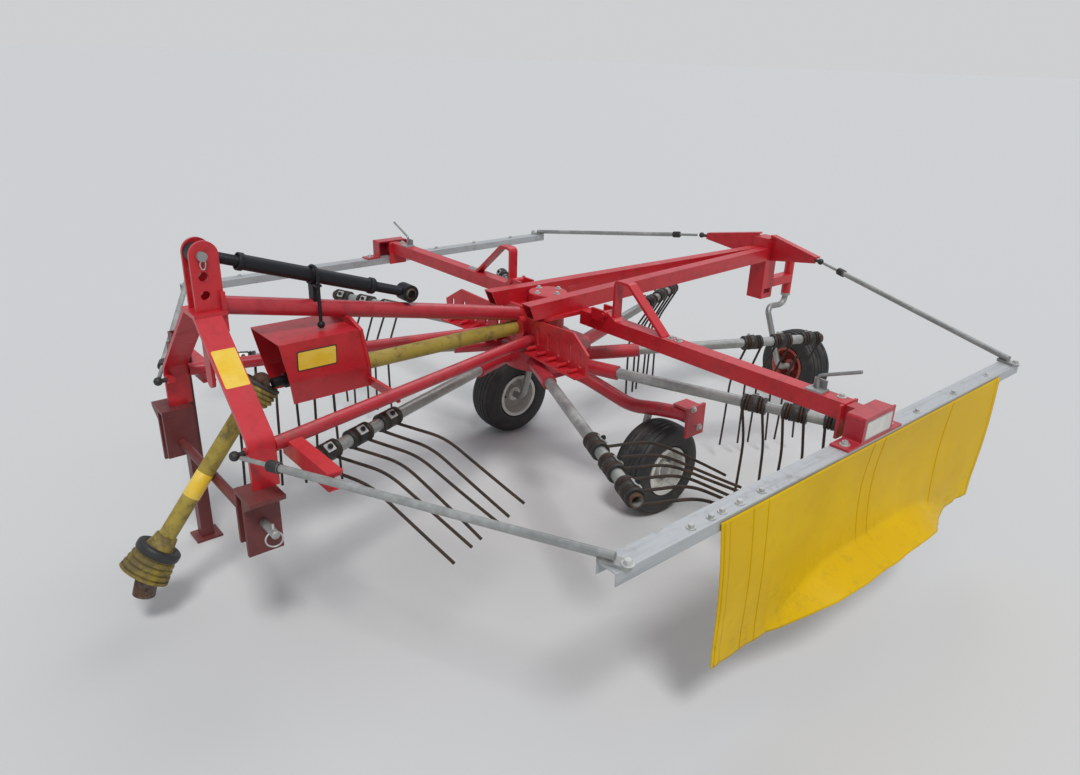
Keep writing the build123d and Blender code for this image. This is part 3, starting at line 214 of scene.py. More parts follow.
def outward(mesh):
    """Merges doubled points and turns every shell's faces outward."""
    work = bmesh.new()
    work.from_mesh(mesh)
    bmesh.ops.remove_doubles(work, verts=work.verts, dist=MERGE_DISTANCE)
    bmesh.ops.recalc_face_normals(work, faces=work.faces)
    work.to_mesh(mesh)
    work.free()


def rounded(width, height, corner):
    """A rectangle's outline whose corners are quarter circles."""
    quarter = np.linspace(0, math.pi / 2, CORNER_STEPS)
    rows = []
    for index, (side, rise) in enumerate(((1, 1), (-1, 1), (-1, -1), (1, -1))):
        angle = quarter + index * math.pi / 2
        middle = np.array([side * (width / 2 - corner), rise * (height / 2 - corner)])
        rows.append(middle + corner * np.stack([np.cos(angle), np.sin(angle)], 1))
    return np.vstack(rows)


def shade(colour, factor):
    """A colour times a factor, with each part at most one."""
    return tuple(min(1.0, factor * part) for part in colour)


def opaque(item):
    """A colour with its full alpha; a number or a link stays as it is."""
    return (*item, 1.0) if isinstance(item, tuple) else item


# Shader maths, with the sockets of a Mix node that is set to colours
MIX_BELOW, MIX_ABOVE, MIX_RESULT = 6, 7, 2
COAT_ROUGHNESS = 0.25



class Value:
    """A socket whose arithmetic adds Math nodes."""

    def __init__(self, look, socket):
        self.look, self.socket = look, socket

    def math(self, operation, *others, clamp=False):
        """A Math node on this value and the others."""
        node = self.look.tree.nodes.new("ShaderNodeMath")
        node.operation = operation
        node.use_clamp = clamp
        for index, item in enumerate((self,) + others):
            self.look.feed(node.inputs[index], item)
        return Value(self.look, node.outputs[0])

    def __add__(self, other):
        return self.math("ADD", other)

    def __mul__(self, other):
        return self.math("MULTIPLY", other)

    def __sub__(self, other):
        return self.math("SUBTRACT", other)

    def __rsub__(self, other):
        return (self * -1).math("ADD", other)

    __radd__, __rmul__ = __add__, __mul__

    def clamp(self):
        """The value held between 0 and 1."""
        return self.math("ADD", 0.0, clamp=True)

    def step(self, low, high):
        """0 below low, 1 above high, smooth between."""
        node = self.look.node("ShaderNodeMapRange", {"interpolation_type": "SMOOTHSTEP"},
                              {"Value": self, "From Min": low, "From Max": high})
        return Value(self.look, node.outputs[0])


class Look:
    """A material under construction, with Object coordinates and a Principled shader."""

    def __init__(self, name):
        self.material = bpy.data.materials.new(name)
        self.material.use_nodes = True
        self.tree = self.material.node_tree
        self.shader = self.tree.nodes["Principled BSDF"]
        self.place = self.tree.nodes.new("ShaderNodeTexCoord").outputs["Object"]

    def feed(self, socket, item):
        """Links a value or a socket to the socket, or sets the socket's own value."""
        if isinstance(item, Value):
            self.tree.links.new(item.socket, socket)
        elif isinstance(item, bpy.types.NodeSocket):
            self.tree.links.new(item, socket)
        else:
            socket.default_value = item

    def node(self, kind, settings=None, inputs=None):
        """A node of that kind: its settings first, then the values or links of its sockets."""
        node = self.tree.nodes.new(kind)
        for key, item in (settings or {}).items():
            setattr(node, key, item)
        for key, item in (inputs or {}).items():
            self.feed(node.inputs[key], item)
        return node

    def stretched(self, scale):
        """Object coordinates scaled by three factors."""
        return self.node("ShaderNodeMapping", None, {"Vector": self.place, "Scale": scale}).outputs[0]

    def noise(self, scale, detail=4.0, rough=0.6, vector=None, distortion=0.0):
        """Cloudy noise between 0 and 1."""
        node = self.node("ShaderNodeTexNoise", None, {
            "Vector": vector or self.place, "Scale": scale, "Detail": detail,
            "Roughness": rough, "Distortion": distortion})
        return Value(self, node.outputs[0])

    def cells(self, scale):
        """The distance to the nearest of many scattered points."""
        node = self.node("ShaderNodeTexVoronoi", None, {"Vector": self.place, "Scale": scale})
        return Value(self, node.outputs[0])

    def third(self, vector):
        """A vector's third part."""
        return Value(self, self.node("ShaderNodeSeparateXYZ", None, {0: vector}).outputs[2])

    def facing_up(self):
        """The upward part of the surface's normal."""
        return self.third(self.tree.nodes.new("ShaderNodeNewGeometry").outputs["Normal"])

    def height(self):
        """Height above the ground in metres."""
        return self.third(self.place)

    def blend(self, below, above, factor):
        """The colour below with the colour above laid over it by the factor."""
        node = self.node("ShaderNodeMix", {"data_type": "RGBA"})
        self.feed(node.inputs[0], factor)
        for index, item in ((MIX_BELOW, below), (MIX_ABOVE, above)):
            self.feed(node.inputs[index], opaque(item))
        return Value(self, node.outputs[MIX_RESULT])

    def finish(self, colour, rough, metal=None, bump=None, strength=0.3, distance=0.001, coat=None,
               gloss=None):
        """The material, with colour, roughness, metal and relief joined to its shader. Coat and gloss
        are the same all over it."""
        for name, item in (("Base Color", colour), ("Roughness", rough), ("Metallic", metal)):
            if item is not None:
                self.feed(self.shader.inputs[name], opaque(item))
        if gloss is not None:
            self.shader.inputs["Specular IOR Level"].default_value = gloss
        if coat is not None:
            self.shader.inputs["Coat Weight"].default_value = coat
            self.shader.inputs["Coat Roughness"].default_value = COAT_ROUGHNESS
        if bump is not None:
            node = self.node("ShaderNodeBump", None,
                             {"Strength": strength, "Distance": distance, "Height": bump})
            self.feed(self.shader.inputs["Normal"], node.outputs[0])
        return self.material


# Colours of dirt and wear
PAINT_GRIME = (0.12, 0.075, 0.06)
CHIP_RUST = (0.085, 0.035, 0.02)
SCRATCH = (0.34, 0.30, 0.28)
BROWN_STAIN = (0.22, 0.15, 0.09)
GREY_DIRT = (0.17, 0.15, 0.12)
BLACK_GRIME = (0.08, 0.065, 0.04)
TYRE_DUST = (0.085, 0.075, 0.062)
CLOTH_DIRT = (0.34, 0.24, 0.03)
WEAVE_SHADE = (0.55, 0.35, 0.0)
FILM_WEAR = (0.16, 0.12, 0.08)


def painted(name, colour, fade_and_sheen_colour, dust=0.35, rust=0.5, rough=0.42):
    """Weathered paint: broad fading, faces that point up painted paler as a painted sky reflection,
    streaks of dust on what faces up, chips that show rust and fine scratches."""
    look = Look(name)
    broad = look.noise(3.1, 3.0).step(0.35, 0.70)
    mottled = look.noise(24.0, 6.0, 0.7).step(0.45, 0.75)
    upward = look.facing_up().step(0.2, 0.95)
    # Faces that point up are painted paler, a painted sky reflection, mixed with real fading in random
    # patches.
    fade_and_painted_sheen = (broad * 0.55 + upward * 0.45).clamp()
    body = look.blend(colour, fade_and_sheen_colour, fade_and_painted_sheen * 0.75)
    body = look.blend(body, shade(colour, 0.42), mottled * 0.5)
    grime = look.noise(9.0, 8.0, 0.75, distortion=0.6).step(0.52, 0.72)
    body = look.blend(body, PAINT_GRIME, (grime * (0.4 + 0.6 * upward) * dust).clamp())
    chips = look.noise(60.0, 8.0, 0.8).step(0.66, 0.70) * look.noise(5.0, 2.0).step(0.45, 0.62)
    body = look.blend(body, CHIP_RUST, (chips * rust * 1.6).clamp())
    scratch = look.noise(110.0, 3.0, 0.5, vector=look.stretched((0.12, 0.12, 1.0))).step(0.70, 0.76)
    body = look.blend(body, SCRATCH, scratch * 0.22)
    surface = rough + 0.28 * grime + 0.3 * chips - 0.06 * broad
    relief = look.noise(85.0, 5.0) * 0.6 - 0.9 * chips
    return look.finish(body, surface, bump=relief, strength=0.25, distance=0.0008, coat=0.25)


def galvanised(name, tint=(0.37, 0.375, 0.36)):
    """Hot-dip zinc: spangle from cells, cloudy white bloom and brown stains."""
    look = Look(name)
    spangle = look.cells(70.0)
    cloud = look.noise(7.0, 6.0, 0.7).step(0.40, 0.70)
    body = look.blend(tint, shade(tint, 1.35), cloud * 0.7)
    body = look.blend(body, shade(tint, 0.62), (spangle * 0.5).clamp())
    stain = look.noise(14.0, 8.0, 0.75).step(0.60, 0.74)
    body = look.blend(body, BROWN_STAIN, stain * 0.5)
    surface = 0.42 + 0.22 * cloud + 0.2 * stain
    metal = 0.75 - 0.5 * cloud - 0.3 * stain
    relief = look.noise(140.0, 4.0) * 0.5
    return look.finish(body, surface, metal=metal.clamp(), bump=relief, strength=0.2, distance=0.0006)


def alloy_bar():
    """Dull pale channel: scuffs along its length and grey dirt."""
    look = Look("dull_alloy_bar")
    scuff = look.noise(60.0, 5.0, 0.7, vector=look.stretched((0.06, 1.0, 1.0))).step(0.45, 0.75)
    dirt = look.noise(11.0, 8.0, 0.8).step(0.50, 0.72)
    body = look.blend((0.46, 0.475, 0.485), (0.31, 0.325, 0.335), scuff * 0.7)
    body = look.blend(body, GREY_DIRT, dirt * 0.55)
    return look.finish(body, 0.45 + 0.25 * dirt, metal=0.35 - 0.25 * dirt,
                       bump=look.noise(90.0, 4.0), strength=0.15, distance=0.0006)


def rusted(name, colour, rust, cover=(0.42, 0.60)):
    """Bare or thinly painted steel under patches of rust."""
    look = Look(name)
    patch = look.noise(26.0, 8.0, 0.75).step(*cover)
    deep = look.noise(75.0, 6.0, 0.7).step(0.45, 0.65)
    body = look.blend(colour, rust, patch)
    body = look.blend(body, shade(rust, 0.45), deep * patch * 0.8)
    return look.finish(body, 0.5 + 0.35 * patch, metal=(0.55 - 0.55 * patch).clamp(),
                       bump=deep * 0.6 + patch * 0.4, strength=0.35, distance=0.0006)


def moulded(name, colour, worn, dirt_colour=BLACK_GRIME, cover=(0.50, 0.68), rough=0.5):
    """Faded moulded plastic with black grime rubbed into it."""
    look = Look(name)
    fade = look.noise(5.0, 4.0).step(0.35, 0.70)
    grime = look.noise(18.0, 8.0, 0.8, distortion=0.4).step(*cover)
    fine = look.noise(95.0, 6.0, 0.8).step(0.55, 0.72)
    body = look.blend(colour, worn, fade * 0.8)
    body = look.blend(body, dirt_colour, grime * 0.75)
    body = look.blend(body, shade(colour, 0.5), fine * 0.3)
    return look.finish(body, rough + 0.3 * grime, bump=look.noise(60.0, 5.0) * 0.6 - grime * 0.3,
                       strength=0.25, distance=0.0008)


def tyre_rubber():
    """Black rubber with mottled patches of brown dust."""
    look = Look("dusty_tyre_rubber")
    dusty = look.noise(16.0, 8.0, 0.75).step(0.46, 0.70)
    fine = look.noise(130.0, 4.0, 0.7)
    body = look.blend((0.016, 0.016, 0.017), TYRE_DUST, dusty * 0.6)
    return look.finish(body, 0.55 + 0.3 * dusty, bump=fine, strength=0.3, distance=0.0008)


def curtain_cloth():
    """Coated cloth: a fine square weave in the relief, paler where it is rubbed, and dirt low down."""
    look = Look("coated_yellow_cloth")
    waves = []
    for direction in ("X", "Z"):
        node = look.node("ShaderNodeTexWave", {"bands_direction": direction},
                         {"Vector": look.place, "Scale": 260.0, "Distortion": 0.4, "Detail": 1.0})
        waves.append(Value(look, node.outputs[1]))
    weave = waves[0] * 0.5 + waves[1] * 0.5
    low = 1 - look.height().step(0.23, 0.42)
    rub = look.noise(4.0, 4.0).step(0.40, 0.72)
    dirt = look.noise(22.0, 9.0, 0.8).step(0.50, 0.74)
    body = look.blend((0.68, 0.42, 0.0), (0.80, 0.53, 0.0), rub * 0.6)
    body = look.blend(body, CLOTH_DIRT, (dirt * (0.12 + 0.60 * low)).clamp())
    body = look.blend(body, WEAVE_SHADE, weave * 0.18)
    return look.finish(body, 0.45 + 0.2 * dirt, bump=weave * 0.6 + look.noise(40.0, 3.0) * 0.4,
                       strength=0.3, distance=0.0007, gloss=0.18)


def blank_sticker(name, colour, worn):
    """A faded printed film with nothing on it: dirt, and chips round its edge."""
    look = Look(name)
    wear = look.noise(42.0, 8.0, 0.8).step(0.56, 0.70)
    fade = look.noise(12.0, 4.0).step(0.35, 0.65)
    body = look.blend(colour, worn, fade * 0.7)
    body = look.blend(body, FILM_WEAR, wear * 0.45)
    return look.finish(body, 0.38 + 0.3 * wear, bump=look.noise(80.0, 3.0), strength=0.12,
                       distance=0.0005)


RED = painted("weathered_red_paint", (0.52, 0.008, 0.016), (0.57, 0.030, 0.042), dust=0.45)
PINK = painted("faded_red_paint", (0.42, 0.010, 0.022), (0.50, 0.050, 0.062), dust=0.75)
MAROON = painted("oxide_red_paint", (0.120, 0.014, 0.014), (0.20, 0.045, 0.042), dust=0.5, rust=0.9,
                 rough=0.6)
PALE_PAINT = painted("dirty_pale_paint", (0.60, 0.59, 0.55), (0.70, 0.69, 0.66), dust=0.9, rust=1.0)
RIM_RED = painted("dull_rim_paint", (0.36, 0.055, 0.035), (0.44, 0.12, 0.08), dust=0.8, rust=0.9)
ZINC = galvanised("weathered_zinc")
BRIGHT_ZINC = galvanised("clean_zinc", (0.55, 0.55, 0.53))
BAR = alloy_bar()
BLACK_STEEL = rusted("black_link_steel", (0.020, 0.021, 0.024), (0.075, 0.040, 0.025), (0.56, 0.74))
TINE = rusted("rusty_spring_steel", (0.034, 0.027, 0.023), (0.062, 0.032, 0.018), (0.40, 0.66))
BROWN_STEEL = rusted("brown_fork_steel", (0.16, 0.13, 0.11), (0.10, 0.050, 0.028), (0.38, 0.58))
GUARD_YELLOW = moulded("olive_guard_plastic", (0.33, 0.24, 0.030), (0.43, 0.33, 0.06), cover=(0.46, 0.66))
BELL_YELLOW = moulded("ribbed_bell_plastic", (0.29, 0.205, 0.026), (0.38, 0.285, 0.05), cover=(0.38, 0.56))
BLACK_PLASTIC = moulded("black_ring_plastic", (0.022, 0.022, 0.024), (0.045, 0.044, 0.046),
                        (0.10, 0.08, 0.06), cover=(0.55, 0.75))
CLAMP_BLACK = moulded("black_clamp_rubber", (0.018, 0.017, 0.017), (0.036, 0.033, 0.031),
                      (0.09, 0.07, 0.05), cover=(0.52, 0.72))
RUBBER = tyre_rubber()
CLOTH = curtain_cloth()
STICKER = blank_sticker("blank_yellow_film", (0.80, 0.50, 0.02), (0.86, 0.62, 0.12))
GREY_PLATE = blank_sticker("blank_grey_plate", (0.26, 0.26, 0.26), (0.50, 0.49, 0.47))
WHITE_FILM = blank_sticker("blank_pale_film", (0.66, 0.64, 0.60), (0.52, 0.48, 0.44))

FINISHES = {
    RED: ("headstock", "guard_box", "carrier_plate", "gearbox", "arm_racks", "arm_holders", "rear_beams",
          "crosshead", "guard_stubs", "left_guard_arm", "right_guard_arm"),
    PINK: ("frame_tubes", "left_hat", "right_hat", "rotor_hub", "axle"),
    MAROON: ("lower_hitch", "parking_stand", "stand_sleeve"),
    PALE_PAINT: ("left_rim", "right_rim"),
    RIM_RED: ("rear_rim",),
    ZINC: ("hitch_pins", "mast_pin", "wheel_cranks", "castor_crank", "tine_arms", "left_links",
           "right_links"),
    BAR: ("left_bar", "right_bar"),
    BLACK_STEEL: ("top_link", "stay_rod", "input_shaft"),
    BROWN_STEEL: ("drive_yokes",),
    GUARD_YELLOW: ("shaft_guard", "drive_guard"),
    RUBBER: ("left_tyre", "right_tyre", "rear_tyre"),
    TINE: ("tines",),
    CLOTH: ("curtain",),
    BELL_YELLOW: ("upper_bell",),
    CLAMP_BLACK: ("link_clamps",),
}


def give_finishes():
    """Puts each finish on the solids that FINISHES lists for it."""
    for material, names in FINISHES.items():
        for name in names:
            data = frame["nodes"][name].data
            data.materials.clear()
            data.materials.append(material)


give_finishes()

# Tines, coils and their clamps on the arms
ARM_COUNT = 8
ARM_TURN = math.radians(20)
ARM_OFFSET = -80
ARM_HEIGHT = 535
ARM_RADIUS = 18
ARM_END = 1113
RAISED_ARMS = (0, 1)
TINE_PLACES = (806, 934, 1062)
TINE_SPREAD = 32
TIP_SPREAD = 10
TINE_UPPER = 190
TINE_LOWER = 288
TINE_STEPS = 31
TINE_HANG = math.radians(62)
TINE_KNEE = math.radians(28)
KNEE_REACH = 70
TINE_SWAY = 0.05
SWAY_RETURN = 2.2
SWAY_SEED = 7
WIRE = 4.6
COIL = 23.5
COIL_TURNS = 2.6
COIL_PITCH = 9.6
COIL_STEPS = 34
CLAMP_BORE = ARM_RADIUS + 0.3
CLAMP_HALF = TINE_SPREAD - COIL_PITCH * COIL_TURNS + 5
WASHER_PLACES = (-TINE_SPREAD - 6, TINE_SPREAD - 3)
PLATE_FACING = math.radians(38)
RAISED_PLATE_FACING = math.radians(52)
PLATE_SIZE = (30, 26, 3)
PLATE_SEAT = 26.2
PLATE_DEPTH = 2.6

# Sections of what sits on an arm: rows of radius and place along the axis they are turned about
CLAMP_SECTION = [(CLAMP_BORE, -CLAMP_HALF), (25.6, -CLAMP_HALF), (27.0, 2 - CLAMP_HALF),
                 (27.0, CLAMP_HALF - 2), (25.6, CLAMP_HALF), (CLAMP_BORE, CLAMP_HALF)]
WASHER_SECTION = [(CLAMP_BORE, 0), (26.4, 0), (27.4, 1.5), (27.4, 7.5), (26.4, 9), (CLAMP_BORE, 9)]
PLATE_BOLT_HEAD = [(0.1, 0), (7.5, 0), (7.5, 6.2), (6.2, 7.2), (0.1, 7.2)]
PLATE_BOLT_STEM = [(0.1, 0), (4.2, 0), (4.2, 10), (0.1, 10.5)]
ARM_END_RING = [(14.2, 0.4), (18.2, 0.4), (18.6, -1), (18.6, -13), (18.1, -14)]
ARM_END_BORE = [(14.2, 0.4), (14.0, -30), (0.1, -30)]


def arm_axes(index):
    """Unit vectors out along a tine arm and ahead of it."""
    turn = ARM_TURN + 2 * math.pi / ARM_COUNT * index
    return np.array([math.cos(turn), math.sin(turn), 0]), np.array([-math.sin(turn), math.cos(turn), 0])


def arm_place(index, along, beside=0, height=0):
    """Points in metres on or beside a tine arm, from arrays of three distances."""
    out, ahead = arm_axes(index)
    along, beside, height = np.broadcast_arrays(along, beside, height)
    flat = along[..., None] * out + (ARM_OFFSET + beside[..., None]) * ahead
    return metres(flat + (ARM_HEIGHT + height[..., None]) * UP) + ROTOR


def tine_path(side, raised, sway):
    """One spring wire in the plane square to its arm, as distances along, beside and above the arm.
    The coil is a helix: turned by -s/COIL at arc length s, moving along the arm by one pitch a turn.
    The leg's slope goes from its first angle to that plus the knee by a smooth step about the knee,
    and its places are the running sums of (cos, -sin) of the slope."""
    first = 0.0 if raised else TINE_HANG
    coil_s = np.linspace(-COIL_TURNS * 2 * math.pi * COIL, 0, COIL_STEPS)
    turned = first - coil_s / COIL
    coil = (side * (TINE_SPREAD + coil_s / (2 * math.pi * COIL) * COIL_PITCH),
            -np.sin(turned) * COIL, -np.cos(turned) * COIL)
    leg_s = np.linspace(0, TINE_UPPER + TINE_LOWER, TINE_STEPS)[1:]
    share = leg_s / leg_s[-1]
    knee = TINE_KNEE * smooth_step(leg_s, TINE_UPPER - KNEE_REACH, TINE_UPPER + KNEE_REACH)
    slope = first + sway + knee - sway * SWAY_RETURN * share
    leg = (side * (TINE_SPREAD + TIP_SPREAD * share ** 2),
           coil[1][-1] + np.cumsum(np.cos(slope) * leg_s[0]),
           coil[2][-1] - np.cumsum(np.sin(slope) * leg_s[0]))
    return [np.concatenate(pair) for pair in zip(coil, leg)]


def make_tines():
    """All spring wires, the black clamps between their coils and the clamps' plates and bolts."""
    random = np.random.default_rng(SWAY_SEED)
    wires, clamps, plates, bolts, rings = (Shape() for _ in range(5))
    for index in range(ARM_COUNT):
        out, ahead = arm_axes(index)
        raised = index in RAISED_ARMS
        facing = RAISED_PLATE_FACING if raised else PLATE_FACING
        way = unit(ahead * math.cos(facing) + UP * math.sin(facing))
        for place in TINE_PLACES:
            for side in (-1, 1):
                along, beside, height = tine_path(side, raised, random.uniform(-TINE_SWAY, TINE_SWAY))
                wires.sweep(arm_place(index, place + along, beside, height), metres(WIRE), out, sides=6)
            centre = arm_place(index, place)
            clamps.turn(CLAMP_SECTION, centre, out, sides=24)
            for low in WASHER_PLACES:
                clamps.turn(np.array(WASHER_SECTION) + (0, low), centre, out, sides=24)
            plate_foot = centre + way * metres(PLATE_SEAT)
            plates.prism(rounded(*PLATE_SIZE), plate_foot, out, np.cross(way, out), PLATE_DEPTH)
            bolt_foot = plate_foot + way * metres(PLATE_DEPTH)
            bolts.turn(PLATE_BOLT_HEAD, bolt_foot, way, sides=6)
            bolts.turn(PLATE_BOLT_STEM, bolt_foot, way, sides=10)
        for section in (ARM_END_RING, ARM_END_BORE):
            rings.turn(section, arm_place(index, ARM_END), out, sides=28)
    piece = wires.make("spring_tines", "rotor", TINE, slot="tine_steel")
    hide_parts("tines")
    clamps.make("tine_clamps", "rotor", CLAMP_BLACK, slot="black_steel")
    plates.make("tine_clamp_plates", "rotor", BRIGHT_ZINC, slot="zinc", angle=25)
    bolts.make("tine_clamp_bolts", "rotor", BLACK_STEEL, slot="black_steel", angle=25)
    rings.make("arm_end_rings", "rotor", BROWN_STEEL, slot="tine_steel")


make_tines()


# Ribbed tyres. Each wheel's number is the side of its axis that the hub's cap is on.
WHEELS = {"left": 1, "right": -1, "rear": -1}
WHEEL_RADIUS = 172
SHOULDER_RADIUS = 124
BEAD_RADIUS = 86
BEAD_DROP = 40
TYRE_HALF = 65
SECTION_STEPS = 161
SECTION_DEGREES = 152
WALL_POWER = 0.72
CROWN_POWER = 0.52
TREAD_DEGREES = 80
TREAD_HALF = 49
GROOVE_PITCH = 19.5
GROOVE_DEPTH = 5.2
GROOVE_EDGE = 0.55
GROOVE_POWER = 0.5
# Raised rings on the side wall: radius, half width and height
WALL_RINGS = ((112, 2.2, 1.6), (138, 1.6, 1.2))
VALVE = [(0.1, 0), (4, 0), (4, 22), (3, 26), (0.1, 26)]
VALVE_PLACE = 56
VALVE_SEAT = 18


def tyre_profile():
    """Radius and offset of a tyre's section over an angle a: the offset is the half width times a
    squarish sine, the radius rises from the shoulder line by a squarish cosine, four grooves are cut
    by narrow cosine pulses across the tread, and rings stand on the side wall as bell curves."""
    a = np.radians(np.linspace(-SECTION_DEGREES, SECTION_DEGREES, SECTION_STEPS))
    offset = TYRE_HALF * squarish(np.sin(a), WALL_POWER)
    rise = squarish(np.cos(a), CROWN_POWER)
    radius = SHOULDER_RADIUS + np.where(rise > 0, WHEEL_RADIUS - SHOULDER_RADIUS, BEAD_DROP) * rise
    pulse = np.cos(2 * math.pi * offset / GROOVE_PITCH + math.pi)
    pulse = np.clip((pulse - GROOVE_EDGE) / (1 - GROOVE_EDGE), 0, 1)
    tread = (np.abs(offset) < TREAD_HALF) & (np.abs(np.degrees(a)) < TREAD_DEGREES)
    radius = radius - GROOVE_DEPTH * pulse ** GROOVE_POWER * tread
    wall = sum(height * np.exp(-((radius - place) / width) ** 2) for place, width, height in WALL_RINGS)
    offset = np.clip(offset + np.sign(offset) * np.where(tread, 0, wall), -TYRE_HALF, TYRE_HALF)
    keep = radius > BEAD_RADIUS
    return np.stack([radius[keep], offset[keep]], 1)


def make_tyres():
    """Each tyre turned about its own wheel's axis, with a valve in front of the rim."""
    for name in WHEELS:
        joint, body = JOINTS[name + "_wheel_spin"], name + "_wheel"
        centre, axis = np.array(joint["pos_m"]), unit(joint["axis"])
        tyre = Shape().turn(tyre_profile(), centre, axis, sides=96, closed=True)
        piece = tyre.make(name + "_ribbed_tyre", body, RUBBER, slot="tyre_rubber", angle=50)
        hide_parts(name + "_tyre")
        foot = centre + unit(np.cross(axis, UP)) * metres(VALVE_PLACE) + axis * metres(VALVE_SEAT)
        Shape().turn(VALVE, foot, axis, sides=12).make(name + "_valve", body, BLACK_PLASTIC)


make_tyres()

# Curtain
CURTAIN_FRONT = 588
CURTAIN_REAR = -850
CURTAIN_TOP = 628
CURTAIN_FALL = 408
CURTAIN_SLANT = (48, -32)
CURTAIN_EDGE = 2
BAR_OUTER = 1248
CLOTH_HALF = 1.6
CLOTH_WALL = 2.4
CLOTH_GRID = (260, 60)
FLAP_FRONT = (500, 60)
FLAP_REAR = (-830, -330)
FLAP_SHARE = 0.27
FLAP_LEAN = 0.95
FLAP_CREASE = (-0.02, 0.05)
BOW_LEAN = 0.15
LEAN_STEPS = 81
BELLY = 7
BELLY_SHARE = 0.86
CLOTH_GAP = 2
# Upright folds: height, length of a radian, and start. They grow downward by a power of the fall's
# share, to a share of their height, and less in the middle.
FOLDS = ((5.5, 71, 0.8), (3.5, 33, 2.1), (2.2, 19, 0))
FOLD_POWER = 1.5
FOLD_SHARE = 0.8
FOLD_LOSS = 0.6
SEAM_WALL = 1.4
SEAM_LIFT = 1.9
SEAM_END = 0.999
SEAM_STEPS = 4
# Seams: place along the bar and width
SEAMS = ((CURTAIN_FRONT - 22, 20), (CURTAIN_FRONT - 118, 3), (CURTAIN_FRONT - 175, 3), (-60, 3),
         (-118, 3), (-520, 3), (CURTAIN_REAR + 18, 16))


def curtain_out(x, v):
    """How far the cloth stands from the bar and how high it is, at x along the bar and the share v
    of its fall. The cloth's lean from upright is set all along the fall: it bows inward above the
    crease and turns outward below it, most in the middle of the curtain. Its place is the sum of
    that lean's sine and cosine, and soft upright folds that grow downward are laid on top."""
    middle = smooth_step(x, *FLAP_FRONT) * smooth_step(x, *FLAP_REAR)
    folds = sum(height * np.sin(x / length + start) for height, length, start in FOLDS)
    share = v[..., None] * np.linspace(0, 1, LEAN_STEPS)
    crease = (1 - FLAP_SHARE * middle)[..., None]
    bow = -BOW_LEAN * middle[..., None] * np.cos(math.pi * np.clip(share / crease, 0, 1))
    turned = smooth_step(share, crease + FLAP_CREASE[0], crease + FLAP_CREASE[1])
    lean = bow + FLAP_LEAN * middle[..., None] * turned
    out = CLOTH_GAP + np.abs(folds) * v ** FOLD_POWER * FOLD_SHARE * (1 - FOLD_LOSS * middle)
    belly = BELLY * (1 - middle) * np.sin(math.pi * np.clip(v / BELLY_SHARE, 0, 1))
    return (out + belly + CURTAIN_FALL * v * np.sin(lean).mean(-1),
            CURTAIN_TOP - CURTAIN_FALL * v * np.cos(lean).mean(-1))


def on_curtain(x, v, lift=0):
    """Points in metres on the cloth, or `lift` outside it. As the cloth falls, it also slants along
    the bar, by a share of CURTAIN_SLANT's rear and front values."""
    out, up = curtain_out(x, v)
    slant = v * np.interp(x, (CURTAIN_REAR, CURTAIN_FRONT), CURTAIN_SLANT)
    return metres(np.stack([x + slant, BAR_OUTER + CLOTH_HALF + out + lift, up], -1)) + ROTOR


def thicken(piece, wall):
    """Gives a sheet a wall, half of it on each side."""
    modifier = piece.modifiers.new("wall", "SOLIDIFY")
    modifier.thickness = metres(wall)
    modifier.offset = 0


def make_curtain():
    """The cloth as a grid over x and the share of its fall, with its hems and the seams of its
    stiffening strips."""
    x = np.linspace(CURTAIN_REAR + CURTAIN_EDGE, CURTAIN_FRONT - CURTAIN_EDGE, CLOTH_GRID[0])
    cloth = Shape().grid(on_curtain(*np.meshgrid(x, np.linspace(0, 1, CLOTH_GRID[1]))))
    piece = cloth.make("curtain_cloth", "left_slide", CLOTH, slot="curtain_yellow")
    thicken(piece, CLOTH_WALL)
    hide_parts("curtain")
    seams = Shape()
    for place, width in SEAMS:
        x = place + np.linspace(-width / 2, width / 2, SEAM_STEPS)
        seams.grid(on_curtain(*np.meshgrid(x, np.linspace(0, SEAM_END, CLOTH_GRID[1])), SEAM_LIFT))
    thicken(seams.make("curtain_seams", "left_slide", CLOTH, slot="curtain_yellow"), SEAM_WALL)


make_curtain()

# Guard of the front drive shaft: tube, black ring and ribbed bells
DRIVE_SLOPE = math.radians(-51.6)
DRIVE_JOINT = (1070, 0, 660)
DRIVE_WAY = np.array([math.cos(DRIVE_SLOPE), 0, math.sin(DRIVE_SLOPE)])
DRIVE_TUBE = 24
DRIVE_BORE = 19
DRIVE_TUBE_START = 78
DRIVE_TUBE_END = 556
DRIVE_SECTION = [(DRIVE_BORE, DRIVE_TUBE_START), (DRIVE_TUBE, DRIVE_TUBE_START),
                 (DRIVE_TUBE, DRIVE_TUBE_END), (DRIVE_BORE, DRIVE_TUBE_END)]
RIB_STEPS = 8
RIB_POWER = 0.6
RING_STEPS = 24


def ribbed(places, radii, ribs, depth, wall):
    """A bell's section as an outer line of ribs, where the radius runs straight between the given
    places and radii and a squarish wave is taken off it, and a plain inner line back."""
    along = np.linspace(places[0], places[-1], ribs * RIB_STEPS + 1)
    order = np.argsort(places)
    taper = np.interp(along, np.array(places)[order], np.array(radii)[order])
    wave = np.abs(np.cos(math.pi * ribs * np.linspace(0, 1, len(along)))) ** RIB_POWER - 1
    outer = np.stack([taper + depth * wave, along], 1)
    inner = np.stack([taper[::-RIB_STEPS] - depth - wall, along[::-RIB_STEPS]], 1)
    return np.vstack([outer, inner])


def lip(radius, place, half_width, half_length):
    """The section of a ring with squarish sides round a place on the shaft."""
    a = np.linspace(0, 2 * math.pi, RING_STEPS, endpoint=False)
    section = np.stack([squarish(np.cos(a), RIB_POWER), squarish(np.sin(a), RIB_POWER)], 1)
    return section * (half_width, half_length) + (radius, place)


